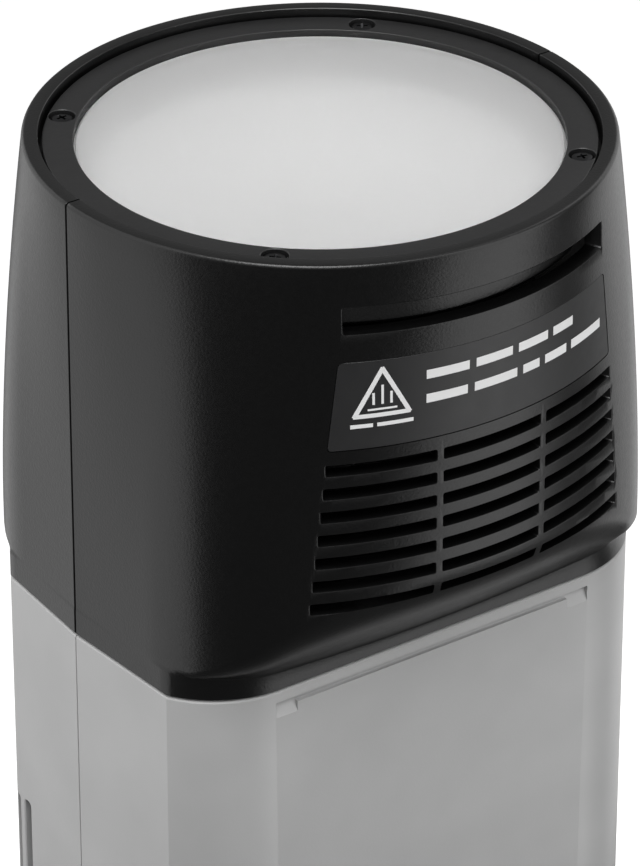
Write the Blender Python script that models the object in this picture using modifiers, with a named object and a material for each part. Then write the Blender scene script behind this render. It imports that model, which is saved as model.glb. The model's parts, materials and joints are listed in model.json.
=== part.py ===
"""A pocket battery strobe: a slab body, a round plug-in flash head and a clip-on battery.

Lengths are in millimetres until publish() turns them to metres. Origin: the middle of the base.
+Z is up, -Y is the wide front face, +X is the narrow side with the control panel.
"""
import math

import bmesh
import bpy
from mathutils import Matrix, Vector

OBJECT_NAME = "monolight_strobe"
MM = 0.001
GAP = 0.3                    # between pieces that touch
SEAM_Y = 1.0                 # the plane where front and rear shells meet
SEAM_HALF = 0.15             # half of the gap at the seam

# Body
BODY_TOP = 168.0
BODY_DEPTH = 50.0
BODY_RIDGE_X = 37.4          # half width at the seam
BODY_CORNER = Vector((24.0, 10.8))
BODY_CORNER_R = 14.2
CREASE_TURN = math.radians(30)   # where the corner arc starts, measured from the X axis
WALL = 2.0
BATTERY_TOP = 87.7
REAR_BOTTOM = 88.0

# Head: heights are above the body's top
RIM_H = 61.3
RIM_R = 37.25
RIM_INNER_R = 35.2
PLAN_H = 8.0                 # the height where the wall reaches its full plan shape
PLAN_RIDGE_X = 37.35
FRONT_R = 53.0
FRONT_CENTRE_Y = -16.1
CORNER_R = 18.0
CORNER_TURN = math.radians(32)   # where the front arc hands over to the corner arc, from the Y axis
SWELL = 1.7                  # how soon the wall leaves the round rim
COLLAR_FOOT = 0.3
COLLAR_TOP_SIDE = 3.6
COLLAR_TOP_FRONT = 2.0
FRONT_OVERHANG = 11.9
HEAD_WALL = 2.2
LEDGE_H = (56.2, 58.1)
LEDGE_R = 31.6

# Lamp stack
RING_R = (30.8, 34.75)
RING_TOP = 60.3
SCREW_CIRCLE_R = 32.9
SCREW_HEAD_R = 1.5
GLASS_R = 30.5
GLASS_TOP = 59.5
FLANGE_R = 31.2

# Vents and upper slot of the head
VENT_ROWS = 7
VENT_PITCH = 3.19
VENT_TOP_H = 34.6
VENT_HEIGHT = 1.5
VENT_HALF_WIDTH = (21.8, 23.8)   # top row, bottom row
VENT_RIB = (7.4, 8.4)
SLOT_H = (52.1, 55.7)
SLOT_HALF_WIDTH = 19.6
LABEL_H = (36.0, 48.3)
LABEL_HALF_WIDTH = (21.0, 20.0)  # bottom, top
LABEL_DEPTH = 0.5

# Control panel on the +X side
PANEL_Y = (-14.5, 16.5)
PANEL_Z = (96.0, 162.0)
PANEL_X = (34.8, 36.3)
DISPLAY_Z = (133.0, 158.0)
DIAL_AT = (SEAM_Y, 110.0)
DIAL_R = (4.2, 8.5)
TEST_AT = (-10.8, 119.5)
MENU_Z = 126.5
MENU_PITCH = 7.0
BUTTON_TOP = 37.0

# -X side
VENT_SLOTS = 5
CORNER_VENT_PITCH = 2.75
CORNER_VENT_WIDTH = 1.6
CORNER_VENT_Z = (95.0, 135.0)
BUSH_R = 6.0
BUSH_HOLE_R = 3.2
SIDE_BUSH = (-36.9, -8.5, 80.0)
BASE_BUSH = (0.0, -12.5, 0.2)
COVER_HINGE = (-35.9, -9.5, 95.65)
COVER_HALF_WIDTH = 5.5
COVER_TOP = 116.0
COVER_THICKNESS = 1.2

RELEASE_AT = (0.0, 25.6, 155.5)
LATCH_AT = (0.0, 25.6, 82.5)
SWITCH_AT = (36.6, -8.5, 80.0)

# Finishes: colour, roughness, metallic
FINISHES = {
    "head_black": ((0.020, 0.020, 0.021), 0.55, 0.0),
    "ring_black": ((0.022, 0.022, 0.023), 0.45, 0.0),
    "screw_black": ((0.05, 0.05, 0.052), 0.35, 1.0),
    "body_grey": ((0.30, 0.30, 0.30), 0.55, 0.0),
    "frosted_glass": ((0.85, 0.86, 0.86), 0.55, 0.0),
    "flash_glass": ((0.90, 0.91, 0.92), 0.08, 0.0),
    "label": ((0.035, 0.035, 0.037), 0.40, 0.0),
    "rubber": ((0.03, 0.03, 0.03), 0.85, 0.0),
    "bright_metal": ((0.78, 0.79, 0.80), 0.18, 1.0),
    "steel": ((0.52, 0.52, 0.53), 0.32, 1.0),
    "brass": ((0.72, 0.54, 0.25), 0.30, 1.0),
    "board": ((0.03, 0.16, 0.07), 0.50, 0.0),
    "sleeve": ((0.04, 0.05, 0.12), 0.40, 0.0),
    "cell_wrap": ((0.10, 0.25, 0.42), 0.40, 0.0),
    "panel": ((0.025, 0.025, 0.027), 0.35, 0.0),
    "key": ((0.12, 0.12, 0.125), 0.50, 0.0),
    "red_key": ((0.45, 0.03, 0.02), 0.45, 0.0),
    "display": ((0.22, 0.26, 0.24), 0.12, 0.0),
}


def clear_scene():
    for thing in list(bpy.data.objects):
        bpy.data.objects.remove(thing, do_unlink=True)


def new_collection(name):
    group = bpy.data.collections.new(name)
    bpy.context.scene.collection.children.link(group)
    return group


clear_scene()
PARTS = new_collection(OBJECT_NAME)
CUTTERS = new_collection(OBJECT_NAME + "_cutters")


# ---- making and joining solids -------------------------------------------------------------------

def finish_of(name, finish):
    material = bpy.data.materials.new(name)
    material.use_nodes = True
    shader = material.node_tree.nodes["Principled BSDF"]
    colour, roughness, metallic = FINISHES[finish]
    shader.inputs["Base Color"].default_value = (*colour, 1.0)
    shader.inputs["Roughness"].default_value = roughness
    shader.inputs["Metallic"].default_value = metallic
    return material


def publish(name, work, finish=None, origin=(0, 0, 0)):
    """Makes a bmesh in millimetres a named object in metres. Without a finish it is a cutter."""
    bmesh.ops.recalc_face_normals(work, faces=work.faces)
    bmesh.ops.translate(work, vec=-Vector(origin), verts=work.verts)
    bmesh.ops.scale(work, vec=(MM, MM, MM), verts=work.verts)
    mesh = bpy.data.meshes.new(name)
    work.to_mesh(mesh)
    work.free()
    thing = bpy.data.objects.new(name, mesh)
    thing.location = Vector(origin) * MM
    if finish:
        mesh.materials.append(finish_of(name, finish))
        mesh.shade_smooth()
        mesh.set_sharp_from_angle(angle=math.radians(35))
        PARTS.objects.link(thing)
    else:
        thing.hide_render = True
        thing.display_type = "WIRE"
        CUTTERS.objects.link(thing)
    return thing


def boolean(target, operation, name, work):
    """Adds a Boolean of a bmesh to the target. The bmesh is given in the target's world millimetres."""
    modifier = target.modifiers.new(name, "BOOLEAN")
    modifier.operation = operation
    modifier.solver = "EXACT"
    modifier.object = publish(f"{target.name}_{name}", work)


def cut(target, name, work):
    boolean(target, "DIFFERENCE", name, work)


def join(target, name, work):
    boolean(target, "UNION", name, work)


def bevel(target, width, segments=1, angle=40):
    modifier = target.modifiers.new("bevel", "BEVEL")
    modifier.width = width * MM
    modifier.segments = segments
    modifier.limit_method = "ANGLE"
    modifier.angle_limit = math.radians(angle)


def place(work, added, matrix):
    bmesh.ops.transform(work, matrix=matrix, verts=added)
    return work


def box(low, high, work=None):
    """A box between two corners, as a new bmesh or added to one."""
    work = work or bmesh.new()
    low, high = Vector(low), Vector(high)
    added = bmesh.ops.create_cube(work, size=1.0)["verts"]
    size = Matrix.Diagonal((*(high - low), 1.0))
    return place(work, added, Matrix.Translation((low + high) / 2) @ size)


def facing(axis):
    """Turns +Z to the axis."""
    return Vector((0, 0, 1)).rotation_difference(Vector(axis)).to_matrix().to_4x4()


def rod(foot, axis, length, radius, sides=20, work=None):
    """A round bar from its foot along an axis."""
    work = work or bmesh.new()
    added = bmesh.ops.create_cone(work, cap_ends=True, segments=sides, radius1=radius,
                                  radius2=radius, depth=length)["verts"]
    lift = Matrix.Translation((0, 0, length / 2))
    return place(work, added, Matrix.Translation(foot) @ facing(axis) @ lift)


def prism(outline, bottom, top):
    """An upright solid on an outline of (x, y) points."""
    work = bmesh.new()
    face = work.faces.new([work.verts.new((x, y, bottom)) for x, y in outline])
    grown = bmesh.ops.extrude_face_region(work, geom=[face])["geom"]
    added = [item for item in grown if isinstance(item, bmesh.types.BMVert)]
    bmesh.ops.translate(work, vec=(0, 0, top - bottom), verts=added)
    return work


def turned(name, profile, finish, steps=40, foot=(0, 0, 0), axis=(0, 0, 1), closed=True):
    """Turns a profile of (radius, height) points, which runs down its outer side, about an axis."""
    work = bmesh.new()
    points = [work.verts.new((radius, 0, height)) for radius, height in profile]
    for first, second in zip(points, points[1:] + points[:1] if closed else points[1:]):
        work.edges.new((first, second))
    thing = publish(name, work, finish)
    thing.location = Vector(foot) * MM
    thing.rotation_mode = "QUATERNION"
    thing.rotation_quaternion = Vector((0, 0, 1)).rotation_difference(Vector(axis))
    screw = thing.modifiers.new("turn", "SCREW")
    screw.angle = math.tau
    screw.steps = screw.render_steps = steps
    screw.use_merge_vertices = True
    screw.merge_threshold = 0.00001
    return thing


def ring_profile(inner, outer, low, high):
    return [(outer, high), (outer, low), (inner, low), (inner, high)]


def tube_along(name, points, radius, finish, cyclic=False):
    """A round wire through points, as a curve with filled caps."""
    curve = bpy.data.curves.new(name, "CURVE")
    curve.dimensions = "3D"
    curve.bevel_depth = radius * MM
    curve.bevel_resolution = 2
    curve.use_fill_caps = True
    spline = curve.splines.new("POLY")
    spline.points.add(len(points) - 1)
    spline.use_cyclic_u = cyclic
    for slot, point in zip(spline.points, points):
        slot.co = (*(Vector(point) * MM), 1.0)
    curve.materials.append(finish_of(name, finish))
    thing = bpy.data.objects.new(name, curve)
    PARTS.objects.link(thing)
    return thing


# ---- outlines in plan ----------------------------------------------------------------------------
# An outline is given by its radius at an angle from the X axis in one quadrant. half is -1 for the
# front and +1 for the rear; the ridge on the narrow side is at SEAM_Y, so it differs by half.

def line_through(start, end):
    """The angle of a straight side's normal, and its distance from the axis."""
    run = end - start
    normal = math.atan2(-run.x, run.y)
    return normal, start.x * math.cos(normal) + start.y * math.sin(normal)


def to_line(angle, line):
    normal, offset = line
    return offset / math.cos(angle - normal)


def to_arc(angle, centre, radius):
    along = centre.x * math.cos(angle) + centre.y * math.sin(angle)
    return along + math.sqrt(along ** 2 - centre.length_squared + radius ** 2)


def polar(point):
    return math.atan2(point.y, point.x)


def on_circle(centre, radius, turn):
    return centre + Vector((math.cos(turn), math.sin(turn))) * radius


BODY_CREASE = on_circle(BODY_CORNER, BODY_CORNER_R, CREASE_TURN)
FRONT_CENTRE = Vector((0.0, FRONT_CENTRE_Y))
PLAN_CORNER = on_circle(FRONT_CENTRE, FRONT_R - CORNER_R, math.pi / 2 - CORNER_TURN)
PLAN_JOIN = on_circle(PLAN_CORNER, CORNER_R, math.pi / 2 - CORNER_TURN)


def plan_tangent(half):
    """Where the head's straight narrow side meets its corner arc."""
    reach = Vector((PLAN_RIDGE_X, half * SEAM_Y)) - PLAN_CORNER
    return on_circle(PLAN_CORNER, CORNER_R, polar(reach) + math.acos(CORNER_R / reach.length))


def body_radius(half, angle):
    if angle < polar(BODY_CREASE):
        ridge = Vector((BODY_RIDGE_X, half * SEAM_Y))
        return to_line(angle, line_through(ridge, BODY_CREASE))
    if angle < math.atan2(BODY_DEPTH / 2, BODY_CORNER.x):
        return to_arc(angle, BODY_CORNER, BODY_CORNER_R)
    return BODY_DEPTH / 2 / math.sin(angle)


def plan_radius(half, angle):
    """The head's fullest plan: a soft square."""
    tangent = plan_tangent(half)
    if angle < polar(tangent):
        return to_line(angle, line_through(Vector((PLAN_RIDGE_X, half * SEAM_Y)), tangent))
    if angle < polar(PLAN_JOIN):
        return to_arc(angle, PLAN_CORNER, CORNER_R)
    return to_arc(angle, FRONT_CENTRE, FRONT_R)


def wall_radius(half, angle, height):
    """The head's outer wall, which blends from its plan low down to the round rim."""
    rise = min((RIM_H - height) / (RIM_H - PLAN_H), 1.0)
    weight = 1.0 - (1.0 - rise) ** SWELL
    return RIM_R * (1.0 - weight) + plan_radius(half, angle) * weight


def quadrant_angles(half, side_steps, corner_steps):
    """Angles from the ridge to the middle of a wide face, with one on the body's crease."""
    ridge = polar(Vector((BODY_RIDGE_X, half * SEAM_Y)))
    crease = polar(BODY_CREASE)
    side = [ridge + (crease - ridge) * i / side_steps for i in range(side_steps)]
    corner = [crease + (math.pi / 2 - crease) * i / corner_steps for i in range(corner_steps + 1)]
    return side + corner


def stations(side_steps, corner_steps):
    """Once round the outline: (half, quadrant angle, side of X), anticlockwise from the +X ridge."""
    rear = quadrant_angles(1, side_steps, corner_steps)
    front = quadrant_angles(-1, side_steps, corner_steps)
    turn = [(1, angle, 1) for angle in rear] + [(1, angle, -1) for angle in rear[-2:0:-1]]
    turn += [(-1, angle, -1) for angle in front] + [(-1, angle, 1) for angle in front[-2:0:-1]]
    return turn


def at(station, radius, height):
    half, angle, side = station
    return Vector((side * radius * math.cos(angle), half * radius * math.sin(angle), height))


def body_outline(inset=0.0, side_steps=2, corner_steps=9):
    points = [at(s, body_radius(s[0], s[1]), 0) for s in stations(side_steps, corner_steps)]
    return inward([(point.x, point.y) for point in points], inset)


def inward(outline, inset):
    """Moves each side of an anticlockwise outline inwards, and keeps its corners mitred."""
    moved = []
    for before, here, after in zip(outline[-1:] + outline[:-1], outline, outline[1:] + outline[:1]):
        first = Vector((here[1] - before[1], before[0] - here[0])).normalized()
        second = Vector((after[1] - here[1], here[0] - after[0])).normalized()
        mitre = (first + second).normalized()
        reach = inset / mitre.dot(first)
        moved.append((here[0] - mitre.x * reach, here[1] - mitre.y * reach))
    return moved


def half_space(half, reach=60.0, low=-30.0, high=260.0):
    """Everything on one side of the seam."""
    edge = SEAM_Y + half * SEAM_HALF
    if half < 0:
        return box((-reach, -reach, low), (reach, edge, high))
    return box((-reach, edge, low), (reach, reach, high))


# ---- head ------------------------------------------------------------------------------------------

def wall_profile(half, angle, rows=4):
    """The head shell's section at one angle: up the outside, over the rim, down the inside."""
    body, full = body_radius(half, angle), plan_radius(half, angle)
    overhang = max(full - body, 0.0)
    slope = (COLLAR_TOP_SIDE - COLLAR_TOP_FRONT) / FRONT_OVERHANG
    collar_top = COLLAR_TOP_SIDE - slope * overhang
    turn_h = collar_top + max(overhang, 0.8)
    soft = 0.3 + 0.25 * overhang
    low = turn_h + soft
    outer = [(body, COLLAR_FOOT), (body, collar_top)]
    outer.append((wall_radius(half, angle, turn_h) - 0.25 * overhang, turn_h - soft * 0.95))
    top = RIM_H - 0.5
    for i in range(rows + 1):
        height = low + (top - low) * i / rows
        outer.append((wall_radius(half, angle, height), height))
    rim = [(RIM_R - 0.5, RIM_H), (RIM_INNER_R, RIM_H), (RIM_INNER_R, LEDGE_H[1]),
           (LEDGE_R, LEDGE_H[1]), (LEDGE_R, LEDGE_H[0])]
    heights = (LEDGE_H[0], 40.0, 24.0, turn_h + HEAD_WALL * 0.5)
    inner = [(wall_radius(half, angle, height) - HEAD_WALL, height) for height in heights]
    inner += [(body - HEAD_WALL, collar_top + HEAD_WALL * 0.5), (body - HEAD_WALL, COLLAR_FOOT)]
    return outer + rim + inner


def head_wall():
    """The closed wall of the head, as one loft through the sections at each station."""
    work = bmesh.new()
    loops = []
    for station in stations(3, 8):
        section = wall_profile(station[0], station[1])
        loops.append([work.verts.new(at(station, radius, BODY_TOP + h)) for radius, h in section])
    for loop, following in zip(loops, loops[1:] + loops[:1]):
        for i in range(len(loop)):
            j = (i + 1) % len(loop)
            work.faces.new((loop[i], following[i], following[j], loop[j]))
    return work


def vent_rows(half):
    """Seven rows of three slots through one wide face."""
    work = bmesh.new()
    top_half, bottom_half = VENT_HALF_WIDTH
    near, far = sorted((half * 26.0, half * 42.0))
    for row in range(VENT_ROWS):
        reach = top_half + (bottom_half - top_half) * row / (VENT_ROWS - 1)
        high = BODY_TOP + VENT_TOP_H - row * VENT_PITCH
        low = high - VENT_HEIGHT
        spans = ((-reach, -VENT_RIB[1]), (-VENT_RIB[0], VENT_RIB[0]), (VENT_RIB[1], reach))
        for left, right in spans:
            box((left, near, low), (right, far, high), work)
    return work


def front_angle(x, height):
    """The quadrant angle at which the front wall passes a distance x from the middle."""
    angle = math.pi / 2
    for _ in range(8):
        angle = math.acos(abs(x) / wall_radius(-1, angle, height))
    return angle


def wall_patch(deep, proud, margin=0.0, columns=10):
    """A thin solid that follows the front wall over the label's area."""
    work = bmesh.new()
    low, high = LABEL_H[0] - margin, LABEL_H[1] + margin
    layers = []
    for offset in (-deep, proud):
        rows = []
        for height, reach in ((low, LABEL_HALF_WIDTH[0]), (high, LABEL_HALF_WIDTH[1])):
            row = []
            for i in range(columns + 1):
                x = (reach + margin) * (2 * i / columns - 1)
                angle = front_angle(x, height)
                station = (-1, angle, 1 if x >= 0 else -1)
                row.append(work.verts.new(at(station, wall_radius(-1, angle, height) + offset,
                                             BODY_TOP + height)))
            rows.append(row)
        layers.append(rows)
    (inner_low, inner_high), (outer_low, outer_high) = layers
    strips = ((inner_low, inner_high), (outer_low, outer_high), (inner_low, outer_low),
              (inner_high, outer_high))
    for first, second in strips:
        for i in range(columns):
            work.faces.new((first[i], first[i + 1], second[i + 1], second[i]))
    for i in (0, columns):
        work.faces.new((inner_low[i], inner_high[i], outer_high[i], outer_low[i]))
    return work


def ring_screw_places():
    for quarter in range(4):
        turn = math.radians(45 + 90 * quarter)
        yield quarter + 1, Vector((math.cos(turn), math.sin(turn), 0)) * SCREW_CIRCLE_R


def ring_bores(radius, low, high, sides=12):
    work = bmesh.new()
    for _, place_at in ring_screw_places():
        foot = place_at + Vector((0, 0, BODY_TOP + low))
        rod(foot, (0, 0, 1), high - low, radius, sides, work)
    return work


def head_shells():
    for half, name in ((-1, "head_shell_front"), (1, "head_shell_rear")):
        shell = publish(name, head_wall(), "head_black")
        boolean(shell, "INTERSECT", "half", half_space(half))
        cut(shell, "vents", vent_rows(half))
        cut(shell, "screw_bores", ring_bores(1.2, LEDGE_H[0] - 1, LEDGE_H[1] + 1, 8))
        if half < 0:
            low, high = (BODY_TOP + h for h in SLOT_H)
            cut(shell, "slot", box((-SLOT_HALF_WIDTH, -42, low), (SLOT_HALF_WIDTH, -29, high)))
            cut(shell, "label_bed", wall_patch(LABEL_DEPTH + GAP, 2.0, margin=GAP))
    publish("label_plate", wall_patch(LABEL_DEPTH, -0.1), "label")


def accessory_ring():
    inner, outer = RING_R
    step = FLANGE_R + 0.3
    profile = [(outer, RING_TOP), (outer, LEDGE_H[1] + GAP), (step, LEDGE_H[1] + GAP), (step, 59.1),
               (inner, 59.1), (inner, RING_TOP)]
    profile = [(radius, BODY_TOP + height) for radius, height in profile]
    ring = turned("accessory_ring", profile, "ring_black", steps=44)
    cut(ring, "bores", ring_bores(1.2, 57, 60))
    cut(ring, "counterbores", ring_bores(SCREW_HEAD_R + 0.25, 59.35, 62))


def cross_recess(work_at, size=1.0, width=0.45, depth=0.6):
    """A cross cutter that goes down into a screw head from a point on its face."""
    for long_x in (True, False):
        x, y = (size, width / 2) if long_x else (width / 2, size)
        yield box((work_at.x - x, work_at.y - y, work_at.z - depth),
                  (work_at.x + x, work_at.y + y, work_at.z + 1))


def ring_screws():
    top, head_low, foot = 60.1, 59.45, 56.4
    for number, place_at in ring_screw_places():
        profile = [(0, top), (SCREW_HEAD_R - 0.2, top), (SCREW_HEAD_R, top - 0.2),
                   (SCREW_HEAD_R, head_low), (0.9, head_low), (0.9, foot), (0, foot)]
        screw = turned(f"ring_screw_{number}", profile, "screw_black", steps=14,
                       foot=place_at + Vector((0, 0, BODY_TOP)), closed=False)
        face = place_at + Vector((0, 0, BODY_TOP + top))
        for slot, work in enumerate(cross_recess(face)):
            cut(screw, f"recess_{slot}", work)


def lamp_stack():
    """Glass, seal, reflector, flash tube and what holds them, inside the round rim."""
    rise = BODY_TOP
    glass = [(0, GLASS_TOP), (GLASS_R - 0.3, GLASS_TOP), (GLASS_R, GLASS_TOP - 0.3), (GLASS_R, 58.8),
             (FLANGE_R, 58.8), (FLANGE_R, 57.6), (0, 57.6)]
    turned("front_glass", [(r, h + rise) for r, h in glass], "frosted_glass", 44, closed=False)
    turned("glass_seal", ring_profile(29.6, FLANGE_R, rise + 56.6, rise + 57.3), "rubber", 32)
    bowl = [(FLANGE_R, 56.3), (FLANGE_R, 55.6), (29.4, 55.3), (26.5, 45.5), (20.5, 36.5), (13.0, 31.0),
            (8.0, 29.6), (8.0, 30.4), (12.6, 31.9), (19.8, 37.2), (25.7, 45.9), (28.9, 56.3)]
    turned("reflector", [(r, h + rise) for r, h in bowl], "bright_metal", 26)
    turned("lamp_collar", ring_profile(31.6, 33.0, rise + 50.6, rise + 55.9), "head_black", 32)
    loop_r, gap_turn, count = 15.0, math.radians(18), 19
    turns = [gap_turn + (math.tau - 2 * gap_turn) * i / (count - 1) for i in range(count)]
    tube = [(loop_r * math.cos(t), loop_r * math.sin(t), rise + 42.0) for t in turns]
    tube_along("flash_tube", tube, 2.4, "flash_glass")
    holder = publish("tube_holder", rod((0, 0, rise + 20.0), (0, 0, 1), 9.0, 11.5, 24), "steel")
    join(holder, "post", rod((0, 0, rise + 28.0), (0, 0, 1), 14.0, 5.5, 16))


def head_base():
    base = publish("head_base", prism(body_outline(2.7), BODY_TOP + 0.6, BODY_TOP + 2.4), "head_black")
    join(base, "tower", box((-16, -12, BODY_TOP + 2.0), (16, 12, BODY_TOP + 19.7)))
    plug = publish("head_plug", box((-21, -12, BODY_TOP - 13.7), (21, 12, BODY_TOP + 0.3)), "panel")
    cut(plug, "contact_slot", box((-15, -4, BODY_TOP - 20), (15, 4, BODY_TOP - 8)))
    publish("plug_contacts", box((-14, -3.4, BODY_TOP - 8.9), (14, 3.4, BODY_TOP - 8.3)), "brass")


# ---- body ------------------------------------------------------------------------------------------

def shell_half(name, half, bottom):
    """One half of the body's casing, hollow and open at the seam."""
    shell = publish(name, prism(body_outline(), bottom, BODY_TOP), "body_grey")
    cut(shell, "hollow", prism(body_outline(WALL), bottom + WALL, BODY_TOP - WALL))
    boolean(shell, "INTERSECT", "half", half_space(half))
    cut(shell, "socket_mouth", box((-21.5, -12.5, BODY_TOP - 5), (21.5, 12.5, BODY_TOP + 5)))
    low = (30.0, PANEL_Y[0] - GAP, PANEL_Z[0] - GAP)
    cut(shell, "panel_window", box(low, (45.0, PANEL_Y[1] + GAP, PANEL_Z[1] + GAP)))
    return shell


def end_pockets():
    """Two pockets on the wide face, deepest at the ledge line and fading out below it."""
    face = -BODY_DEPTH / 2
    work = bmesh.new()
    section = ((0.7, -1.7), (-1.0, -1.7), (-1.0, -3.9), (0.0, -3.9))
    for ends in ((-24.59, -21.3), (21.3, 24.59)):
        near, far = ([work.verts.new((x, face + y, BODY_TOP + h)) for y, h in section] for x in ends)
        work.faces.new(near)
        work.faces.new(far)
        for i in range(len(near)):
            j = (i + 1) % len(near)
            work.faces.new((near[i], near[j], far[j], far[i]))
    return work


def corner_vents():
    """Upright slots round the rear corner of the -X side, each cut square to the wall."""
    work = bmesh.new()
    line = line_through(Vector((BODY_RIDGE_X, SEAM_Y)), BODY_CREASE)
    along = Vector((-math.sin(line[0]), math.cos(line[0])))
    for slot in range(VENT_SLOTS):
        travel = slot * CORNER_VENT_PITCH - CORNER_VENT_PITCH
        if travel < 0:
            spot, turn = BODY_CREASE + along * travel, line[0]
        else:
            turn = CREASE_TURN + travel / BODY_CORNER_R
            spot = on_circle(BODY_CORNER, BODY_CORNER_R, turn)
        added = bmesh.ops.create_cube(work, size=1.0)["verts"]
        size = (8.0, CORNER_VENT_WIDTH, CORNER_VENT_Z[1] - CORNER_VENT_Z[0], 1.0)
        centre = Vector((-spot.x, spot.y, sum(CORNER_VENT_Z) / 2))
        spin = Matrix.Rotation(math.pi - turn, 4, "Z")
        place(work, added, Matrix.Translation(centre) @ spin @ Matrix.Diagonal(size))
    return work


def body_shells():
    front = shell_half("body_shell_front", -1, 0.0)
    hinge_x, cover_y, hinge_z = COVER_HINGE
    reach = COVER_HALF_WIDTH + GAP
    face = -BODY_DEPTH / 2
    cut(front, "ledge", box((-24.6, face - 1, BODY_TOP - 2.45), (24.6, face + 0.5, BODY_TOP - 1.6)))
    cut(front, "pockets", end_pockets())
    cut(front, "port_window", box((-45, cover_y - reach, hinge_z - 0.95), (-32, cover_y + reach, COVER_TOP + GAP)))
    cut(front, "side_bush_bore", rod((-45, *SIDE_BUSH[1:]), (1, 0, 0), 15, BUSH_R + GAP))
    cut(front, "base_bush_bore", rod((*BASE_BUSH[:2], -3), (0, 0, 1), 8, BUSH_R + GAP))
    x, y, z = SWITCH_AT
    cut(front, "switch_window", box((x - 4, y - 2.8, z - 6.3), (x + 4, y + 2.8, z + 6.3)))
    rear = shell_half("body_shell_rear", 1, REAR_BOTTOM)
    cut(rear, "vents", corner_vents())
    cut(rear, "release_window", box((-7.4, 20, RELEASE_AT[2] - 3.9), (7.4, 28, RELEASE_AT[2] + 3.9)))
    for number, (x, z) in shell_screw_places():
        cut(rear, f"screw_bore_{number}", rod((x, 20, z), (0, 1, 0), 5, 1.5, 12))
        cut(rear, f"screw_seat_{number}", rod((x, 23.9, z), (0, 1, 0), 5, 2.6, 16))


def shell_screw_places():
    return enumerate(((-22.0, 98.0), (22.0, 98.0), (-22.0, 158.0), (22.0, 158.0)), start=1)


def shell_screws():
    for number, (x, z) in shell_screw_places():
        profile = [(0, 0.9), (2.1, 0.9), (2.3, 0.7), (2.3, 0.2), (1.2, 0.2), (1.2, -5.0), (0, -5.0)]
        turned(f"shell_screw_{number}", profile, "screw_black", 14, foot=(x, 24.0, z), axis=(0, 1, 0),
               closed=False)


def tripod_bush(name, face, axis, depth):
    """A threaded bush with a blind hole from its outer face. The thread is left plain."""
    inwards = -Vector(axis)
    bush = publish(name, rod(face, inwards, depth, BUSH_R, 24), "steel")
    start = Vector(face) + Vector(axis) * 2
    cut(bush, "hole", rod(start, inwards, depth, BUSH_HOLE_R, 20))


def socket():
    floor = BODY_TOP - 17.0
    shell = publish("head_socket", box((-23.5, -14.5, floor), (23.5, 14.5, BODY_TOP - 2.3)), "panel")
    cut(shell, "well", box((-21.5, -12.5, floor + 2.5), (21.5, 12.5, BODY_TOP)))
    publish("socket_contacts", box((-14, -1.2, floor + 2.8), (14, 1.2, BODY_TOP - 9.5)), "brass")


def electronics():
    board = publish("main_board", box((-31, -2.6, 92), (31, -1.0, 146)), "board")
    join(board, "driver", box((-28, -6.5, 128), (-12, -2.0, 142)))
    join(board, "processor", box((10, -4.2, 130), (24, -2.0, 142)))
    core = publish("flash_transformer", box((-4, -20.5, 98), (22, -4.0, 104)), "steel")
    join(core, "winding", rod((9, -12.2, 103), (0, 0, 1), 13, 8.0, 20))
    join(core, "cap", box((-4, -20.5, 115), (22, -4.0, 121)))
    fins = 8
    comb = [(-30.0, 3.2), (6.0, 3.2)]
    pitch = 36.0 / (fins - 0.5)
    for fin in range(fins):
        right = 6.0 - fin * pitch
        comb += [(right, 19.0), (right - pitch / 2, 19.0)]
        if fin < fins - 1:
            comb += [(right - pitch / 2, 5.4), (right - pitch, 5.4)]
    publish("heat_sink", prism(comb, 93.0, 137.0), "steel")
    for number in range(1, 4):
        x = (number - 2) * 22.0
        profile = [(0, 72.0), (9.5, 72.0), (10.5, 71.0), (10.5, 13.0), (9.9, 12.0), (0, 12.0)]
        turned(f"capacitor_{number}", profile, "sleeve", 24, foot=(x, -12.2, 0), closed=False)


def bay():
    plate = publish("bay_plate", box((-34.6, -0.9, 2.4), (34.6, 0.7, 87.4)), "panel")
    cut(plate, "contact_window", box((-9.4, -3, 77.6), (9.4, 3, 84.4)))
    publish("bay_contacts", box((-9, -1.6, 78), (9, 1.9, 84)), "brass")


def ports():
    y = COVER_HINGE[1]
    jack = publish("sync_jack", rod((-27.0, y, 101.5), (-1, 0, 0), 7.5, 3.2, 20), "steel")
    cut(jack, "bore", rod((-40.0, y, 101.5), (1, 0, 0), 11, 1.75, 16))
    usb = publish("usb_port", box((-34.5, y - 1.9, 106.5), (-27.0, y + 1.9, 115.5)), "steel")
    cut(usb, "mouth", box((-40.0, y - 1.3, 107.1), (-28.5, y + 1.3, 114.9)))


def port_cover():
    x, y, z = COVER_HINGE
    half = COVER_THICKNESS / 2
    low = (x - half, y - COVER_HALF_WIDTH, z - 0.2)
    cover = publish("port_cover", box(low, (x + half, y + COVER_HALF_WIDTH, COVER_TOP)), "rubber",
                    origin=COVER_HINGE)
    join(cover, "barrel", rod((x, y - COVER_HALF_WIDTH + 0.02, z), (0, 1, 0), 2 * COVER_HALF_WIDTH - 0.04,
                              half, 12))


# ---- controls --------------------------------------------------------------------------------------

def on_panel(spot, x=0.0):
    """A point on the control panel, given as (y, z)."""
    return Vector((x, spot[0], spot[1]))


def menu_places():
    for number in range(1, 5):
        yield number, (SEAM_Y + (number - 2.5) * MENU_PITCH, MENU_Z)


def panel_block(spot, half_y, half_z, low, high):
    y, z = spot
    return box((low, y - half_y, z - half_z), (high, y + half_y, z + half_z))


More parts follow.
